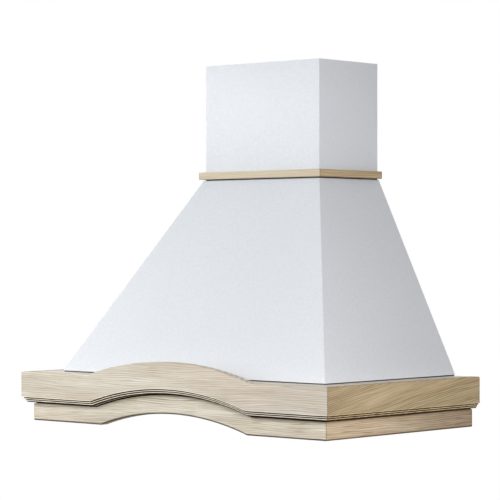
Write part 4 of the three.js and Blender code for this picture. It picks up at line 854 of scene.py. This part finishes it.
def make_canopy():
    back = CANOPY_HIGH.y
    low = CANOPY_LOW.z
    high = CANOPY_HIGH.z
    lean = (CANOPY_HIGH.x - CANOPY_TOP_HALF) / (high - low)

    def half_at(z):
        return CANOPY_HIGH.x - lean * (z - low)

    foot_half = CANOPY_HIGH.x
    foot_front = CANOPY_LOW.y
    flue_half = CHIMNEY_HIGH.x - FOLD
    flue_front = CHIMNEY_LOW.y + FOLD
    flue_back = back - FOLD
    panel_top = high - FOLD
    outer = []
    for side in (-1, 1):
        outer += [
            (side * foot_half, back, low),  # 0 foot, rear corner
            (side * foot_half, foot_front, low),  # 1 foot, front corner
            (side * CANOPY_TOP_HALF, CANOPY_TOP_FRONT, high),  # 2 top, front corner
            (side * CANOPY_TOP_HALF, back, high),  # 3 top, rear corner
            (side * (foot_half - FOLD), back, low),  # 4 foot fold, rear end
            (side * (foot_half - FOLD), foot_front + FOLD, low),  # 5 foot fold, inner corner
            (side * flue_half, flue_front, high),  # 6 flue hole, front corner
            (side * flue_half, flue_back, high),  # 7 flue hole, rear corner
            (side * (half_at(panel_top) - FOLD), back, panel_top),  # 8 rear hole, top corner
        ]
    side_count = len(outer) // 2
    faces = []
    for start in (0, side_count):
        faces += [
            tuple(start + point for point in corners)
            for corners in ((0, 1, 2, 3), (0, 1, 5, 4), (2, 3, 7, 6), (0, 3, 8, 4))
        ]
    right = side_count
    faces += [
        (1, 2, right + 2, right + 1),
        (1, 5, right + 5, right + 1),
        (2, 6, right + 6, right + 2),
        (3, 7, right + 7, right + 3),
        (3, 8, right + 8, right + 3),
    ]
    canopy = sheet_metal("canopy", outer, faces, "paint", CANOPY_BEND)
    stands_for(canopy, "canopy_shell")


def channel_grid(half, front, back, heights, depths, is_open):
    """A folded channel, open behind but for its folds, in cells that may be left open."""
    path = [(-(half - FOLD), back), (-half, back)]
    path += [(-half, depth) for depth in reversed(depths)]
    path += [(-half, front), (half, front)]
    path += [(half, depth) for depth in depths]
    path += [(half, back), (half - FOLD, back)]
    points = [(x, y, z) for z in heights for x, y in path]
    columns = len(path)
    faces = []
    for row in range(len(heights) - 1):
        for column in range(columns - 1):
            (x0, y0), (x1, y1) = path[column], path[column + 1]
            middle = ((x0 + x1) / 2, (y0 + y1) / 2, (heights[row] + heights[row + 1]) / 2)
            if is_open(*middle):
                continue
            corner = row * columns + column
            faces.append((corner, corner + 1, corner + 1 + columns, corner + columns))
    return points, faces


def make_chimney():
    low = CHIMNEY_LOW
    high = CHIMNEY_HIGH
    points, faces = channel_grid(
        high.x, low.y, high.y, [low.z, high.z], [], lambda x, y, z: False,
    )
    cover = sheet_metal("chimney_cover_sheet", points, faces, "chimney_paint_gap_shade", COVER_BEND)
    stands_for(cover, "chimney_cover")

    low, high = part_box("chimney_extension")
    middle = CHIMNEY_LOW.y / 2
    vent_tops = [
        high.z - VENT_TOP_MARGIN - vent * VENT_PITCH for vent in range(VENT_COUNT)
    ]
    heights = sorted(
        [low.z, high.z] + vent_tops + [top - VENT_HEIGHT for top in vent_tops]
    )

    def in_vent(x, y, z):
        return abs(y - middle) < VENT_LENGTH / 2 and any(
            top - VENT_HEIGHT < z < top for top in vent_tops
        )

    depths = [middle - VENT_LENGTH / 2, middle + VENT_LENGTH / 2]
    points, faces = channel_grid(high.x, low.y, high.y, heights, depths, in_vent)
    extension = sheet_metal("chimney_extension_sheet", points, faces, "paint", EXTENSION_BEND)
    stands_for(extension, "chimney_extension")


# ---------------------------------------------------------------- underside

WIRE = 0.9 * MM
MESH_LENGTH = 12 * MM
MESH_HEIGHT = 5 * MM
LAYER_STEP = 0.6  # of a wire's thickness, so that the layers sink into each other
GRID_DROP = 1.6 * MM  # how far the grid hangs under the filter's mesh
NO_TRAVEL = 1e-12  # a line that travels less than this along an axis is square to it
SHORTEST_SHARE = 1e-6  # of a strand; a shorter rest of it is left out
FILTER_BEVEL = 0.5 * MM
CAN_BEVEL = 0.35 * MM


def clipped(start, end, low, high):
    """The part of a line in a plan rectangle, or None."""
    entry, leaving = 0.0, 1.0
    for axis in (0, 1):
        travel = end[axis] - start[axis]
        if abs(travel) < NO_TRAVEL:
            if not low[axis] <= start[axis] <= high[axis]:
                return None
            continue
        near = (low[axis] - start[axis]) / travel
        far = (high[axis] - start[axis]) / travel
        entry = max(entry, min(near, far))
        leaving = min(leaving, max(near, far))
    if leaving - entry < SHORTEST_SHARE:
        return None
    return [
        tuple(start[axis] + share * (end[axis] - start[axis]) for axis in (0, 1))
        for share in (entry, leaving)
    ]


def expanded_metal(name, low, high, foot, finish):
    """Diamond mesh in a plan rectangle: two layers of flat strands crossing each other."""
    points = []
    faces = []
    width = high[0] - low[0]
    depth = high[1] - low[1]
    slope = MESH_HEIGHT / MESH_LENGTH
    run = width + depth / slope
    for layer, lean in enumerate((1, -1)):
        rows = int((depth + slope * width) / MESH_HEIGHT) + 2
        for row in range(rows):
            level = low[1] - slope * width + row * MESH_HEIGHT
            start = (low[0], level) if lean > 0 else (low[0], level + slope * run)
            end = (low[0] + run, level + slope * run) if lean > 0 else (low[0] + run, level)
            kept = clipped(start, end, low, high)
            if kept is None:
                continue
            along = Vector(kept[1]) - Vector(kept[0])
            across = Vector((-along.y, along.x)).normalized() * WIRE / 2
            bottom = foot + layer * WIRE * LAYER_STEP
            base = len(points)
            for z in (bottom, bottom + WIRE):
                for (x, y), turn in ((kept[0], 1), (kept[0], -1), (kept[1], -1), (kept[1], 1)):
                    points.append((x + turn * across.x, y + turn * across.y, z))
            faces += [
                tuple(base + corner for corner in side)
                for side in (
                    (0, 1, 2, 3), (4, 5, 6, 7), (0, 1, 5, 4),
                    (1, 2, 6, 5), (2, 3, 7, 6), (3, 0, 4, 7),
                )
            ]
    return closed_piece(name, points, faces, finish)


def make_filters():
    for side in ("left", "right"):
        carry(f"filter_frame_{side}", "aluminium", FILTER_BEVEL)
        carry(f"filter_mesh_{side}", "foil", 0)
        low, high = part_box(f"filter_mesh_{side}")
        grid = expanded_metal(
            f"filter_grid_{side}", (low.x, low.y), (high.x, high.y),
            low.z - GRID_DROP, "aluminium",
        )
        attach(grid, BODY_OF[f"filter_mesh_{side}"])
        carry(f"filter_catch_{side}", "black_plastic", FILTER_BEVEL)


LENS_RIDGES = 9
RIDGED_SHARE = 0.86  # of the lens's radius
RIDGE_HEIGHT = 0.35 * MM


def make_lamps():
    for side in ("left", "right"):
        carry(f"lamp_can_{side}", "steel", CAN_BEVEL)
        low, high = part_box(f"lamp_lens_{side}")
        radius = (high.x - low.x) / 2
        centre = ((low.x + high.x) / 2, (low.y + high.y) / 2, 0.0)
        ridge = radius * RIDGED_SHARE / LENS_RIDGES
        profile = [(0.0, high.z), (radius, high.z), (radius, low.z)]
        for step in range(2 * LENS_RIDGES, -1, -1):
            lift = 0.0 if step % 2 == 0 else RIDGE_HEIGHT
            profile.append((step * ridge / 2, low.z + lift))
        lens = turned(f"lens_{side}", profile, centre, "lens")
        stands_for(lens, f"lamp_lens_{side}")


# Each kind of node that is shown as it is: its finish and the width of its eased edges.
FINISHES = {
    "corner_block": ("block", 1.0 * MM),
    "pan_screw": ("steel", 0),
    "canopy_gasket": ("foam", 0),
    "chimney_bracket": ("zinc", 0.3 * MM),
    "rear_panel": ("zinc", 0.2 * MM),
    "wall_bracket": ("zinc", 0.4 * MM),
    "underside_pan": ("paint", 0.5 * MM),
    "switch_panel": ("black_plastic", 0.5 * MM),
    "button": ("grey_plastic", 0.5 * MM),
    "blower_housing": ("white_plastic", 0.5 * MM),
    "impeller": ("black_plastic", 0),
    "motor_shaft": ("steel", 0.3 * MM),
    "motor_bracket": ("zinc", 0.3 * MM),
    "motor": ("steel", 0.6 * MM),
    "blower_support": ("zinc", 0.4 * MM),
    "outlet_collar": ("black_plastic", 0.4 * MM),
    "flap_pin": ("steel", 0),
    "damper_flap": ("grey_plastic", 0.3 * MM),
    "terminal_box": ("white_plastic", 0.8 * MM),
    "cable_gland": ("black_plastic", 0.3 * MM),
    "capacitor": ("white_plastic", 0.6 * MM),
}


def finish_the_rest():
    for node in sorted(frame["nodes"]):
        kind = next(
            (kind for kind in sorted(FINISHES, key=len, reverse=True) if node.startswith(kind)),
            None,
        )
        if kind:
            carry(node, *FINISHES[kind])


make_cornice()
make_ring()
make_canopy()
make_chimney()
make_filters()
make_lamps()
finish_the_rest()

# ---------------------------------------------------------------- stage


FLOOR_CENTRE = (0, -0.4, -1.9)  # as far below the hood as a kitchen's floor
FLOOR_RADIUS = 4.0
FLOOR_SIDES = 96
FADE_START = 0.5
FADE_LEVEL = 0.6  # how white the floor's middle looks, as a share


def make_floor():
    """Pale floor that fades to white and can't be seen from below."""
    angles = [2 * math.pi * side / FLOOR_SIDES for side in range(FLOOR_SIDES)]
    points = [(FLOOR_RADIUS * math.cos(a), FLOOR_RADIUS * math.sin(a), 0) for a in angles]
    mesh = bpy.data.meshes.new("floor")
    mesh.from_pydata(points, [], [tuple(range(FLOOR_SIDES))])
    floor = bpy.data.objects.new("floor", mesh)
    floor.location = FLOOR_CENTRE
    bpy.context.scene.collection.objects.link(floor)
    shader = Shader("floor_paint")
    shader.set(Base_Color=(0.85, 0.85, 0.85, 1), Roughness=0.8, Specular_IOR_Level=0.2)
    place = shader.node("ShaderNodeTexCoord").outputs["Object"]
    reach = shader.node("ShaderNodeVectorMath", {0: place}, operation="LENGTH").outputs["Value"]
    fade = shader.spread(reach, FADE_START, FLOOR_RADIUS, FADE_LEVEL, 1.0)
    seen = shader.node("ShaderNodeLightPath").outputs["Is Camera Ray"]
    whitened = shader.node("ShaderNodeMixShader", {
        0: shader.math("MULTIPLY", fade, seen),
        1: shader.surface.outputs[0],
        2: shader.node("ShaderNodeEmission").outputs[0],
    })
    one_sided = shader.node("ShaderNodeMixShader", {
        0: shader.node("ShaderNodeNewGeometry").outputs["Backfacing"],
        1: whitened.outputs[0],
        2: shader.node("ShaderNodeBsdfTransparent").outputs[0],
    })
    shader.feed(shader.tree.nodes["Material Output"].inputs["Surface"], one_sided.outputs[0])
    mesh.materials.append(shader.material)


def add_lamp(name, place, target, size, power, tint=(1, 1, 1)):
    """A round soft lamp at a place, aimed at a target, which isn't seen itself."""
    light = bpy.data.lights.new(name, "AREA")
    light.shape = "DISK"
    light.size = size
    light.energy = power
    light.color = tint
    lamp = bpy.data.objects.new(name, light)
    lamp.location = place
    lamp.visible_camera = False
    lamp.rotation_euler = (Vector(target) - Vector(place)).to_track_quat("-Z", "Y").to_euler()
    bpy.context.scene.collection.objects.link(lamp)


def light_the_world(level):
    """White behind the object; a softer grey sky lights it."""
    world = bpy.data.worlds.new("studio")
    bpy.context.scene.world = world
    world.use_nodes = True
    tree = world.node_tree
    tree.nodes.clear()
    path = tree.nodes.new("ShaderNodeLightPath")
    seen = path.outputs["Is Camera Ray"]
    for ray in ("Is Glossy Ray", "Is Transmission Ray"):
        either = tree.nodes.new("ShaderNodeMath")
        either.operation = "MAXIMUM"
        tree.links.new(seen, either.inputs[0])
        tree.links.new(path.outputs[ray], either.inputs[1])
        seen = either.outputs[0]
    soft = tree.nodes.new("ShaderNodeBackground")
    soft.inputs["Color"].default_value = (1, 1, 1, 1)
    soft.inputs["Strength"].default_value = level
    white = tree.nodes.new("ShaderNodeBackground")
    white.inputs["Color"].default_value = (1, 1, 1, 1)
    white.inputs["Strength"].default_value = 1.0
    both = tree.nodes.new("ShaderNodeMixShader")
    output = tree.nodes.new("ShaderNodeOutputWorld")
    tree.links.new(seen, both.inputs[0])
    tree.links.new(soft.outputs[0], both.inputs[1])
    tree.links.new(white.outputs[0], both.inputs[2])
    tree.links.new(both.outputs[0], output.inputs[0])


SKY_LEVEL = 0.15
CAMERA_PLACE = (3.31191, -3.98976, 0.08586)
CAMERA_TURN = 0.72426
CAMERA_LENS = 161.54
CAMERA_SENSOR = 36
SIDE_TINT = (1.0, 0.96, 0.965)

make_floor()
light_the_world(SKY_LEVEL)
add_lamp("key", (-1.5, -4.2, 1.2), (0, -0.3, 0.1), 2.2, 43.0)
add_lamp("left", (-1.7, -1.7, 0.8), (-0.1, -0.4, 0.0), 0.8, 21.3)
add_lamp("left_low", (-1.6, -1.9, 0.05), (-0.1, -0.4, 0.0), 0.7, 6.8)
add_lamp("side", (3.4, -1.2, 0.6), (0, -0.3, 0.1), 1.6, 42.2, SIDE_TINT)
add_lamp("side_near", (1.3, -1.3, 0.2), (0.2, -0.35, 0.05), 0.5, 7.2, SIDE_TINT)
add_lamp("back", (-0.6, 4.0, 0.8), (0, 0, 0.1), 1.2, 30.0)
add_lamp("back_left", (-3.4, 1.0, 0.5), (0, -0.2, 0.1), 1.6, 34.0)
add_lamp("under", (0.2, 0.7, -1.7), (0, -0.3, -0.2), 1.2, 9.0)

camera = bpy.data.objects.new("camera", bpy.data.cameras.new("camera"))
camera.data.sensor_width = CAMERA_SENSOR
camera.data.lens = CAMERA_LENS
camera.location = CAMERA_PLACE
camera.rotation_euler = (math.pi / 2, 0, CAMERA_TURN)
bpy.context.scene.collection.objects.link(camera)
bpy.context.scene.camera = camera
bpy.context.scene.view_settings.view_transform = "Standard"
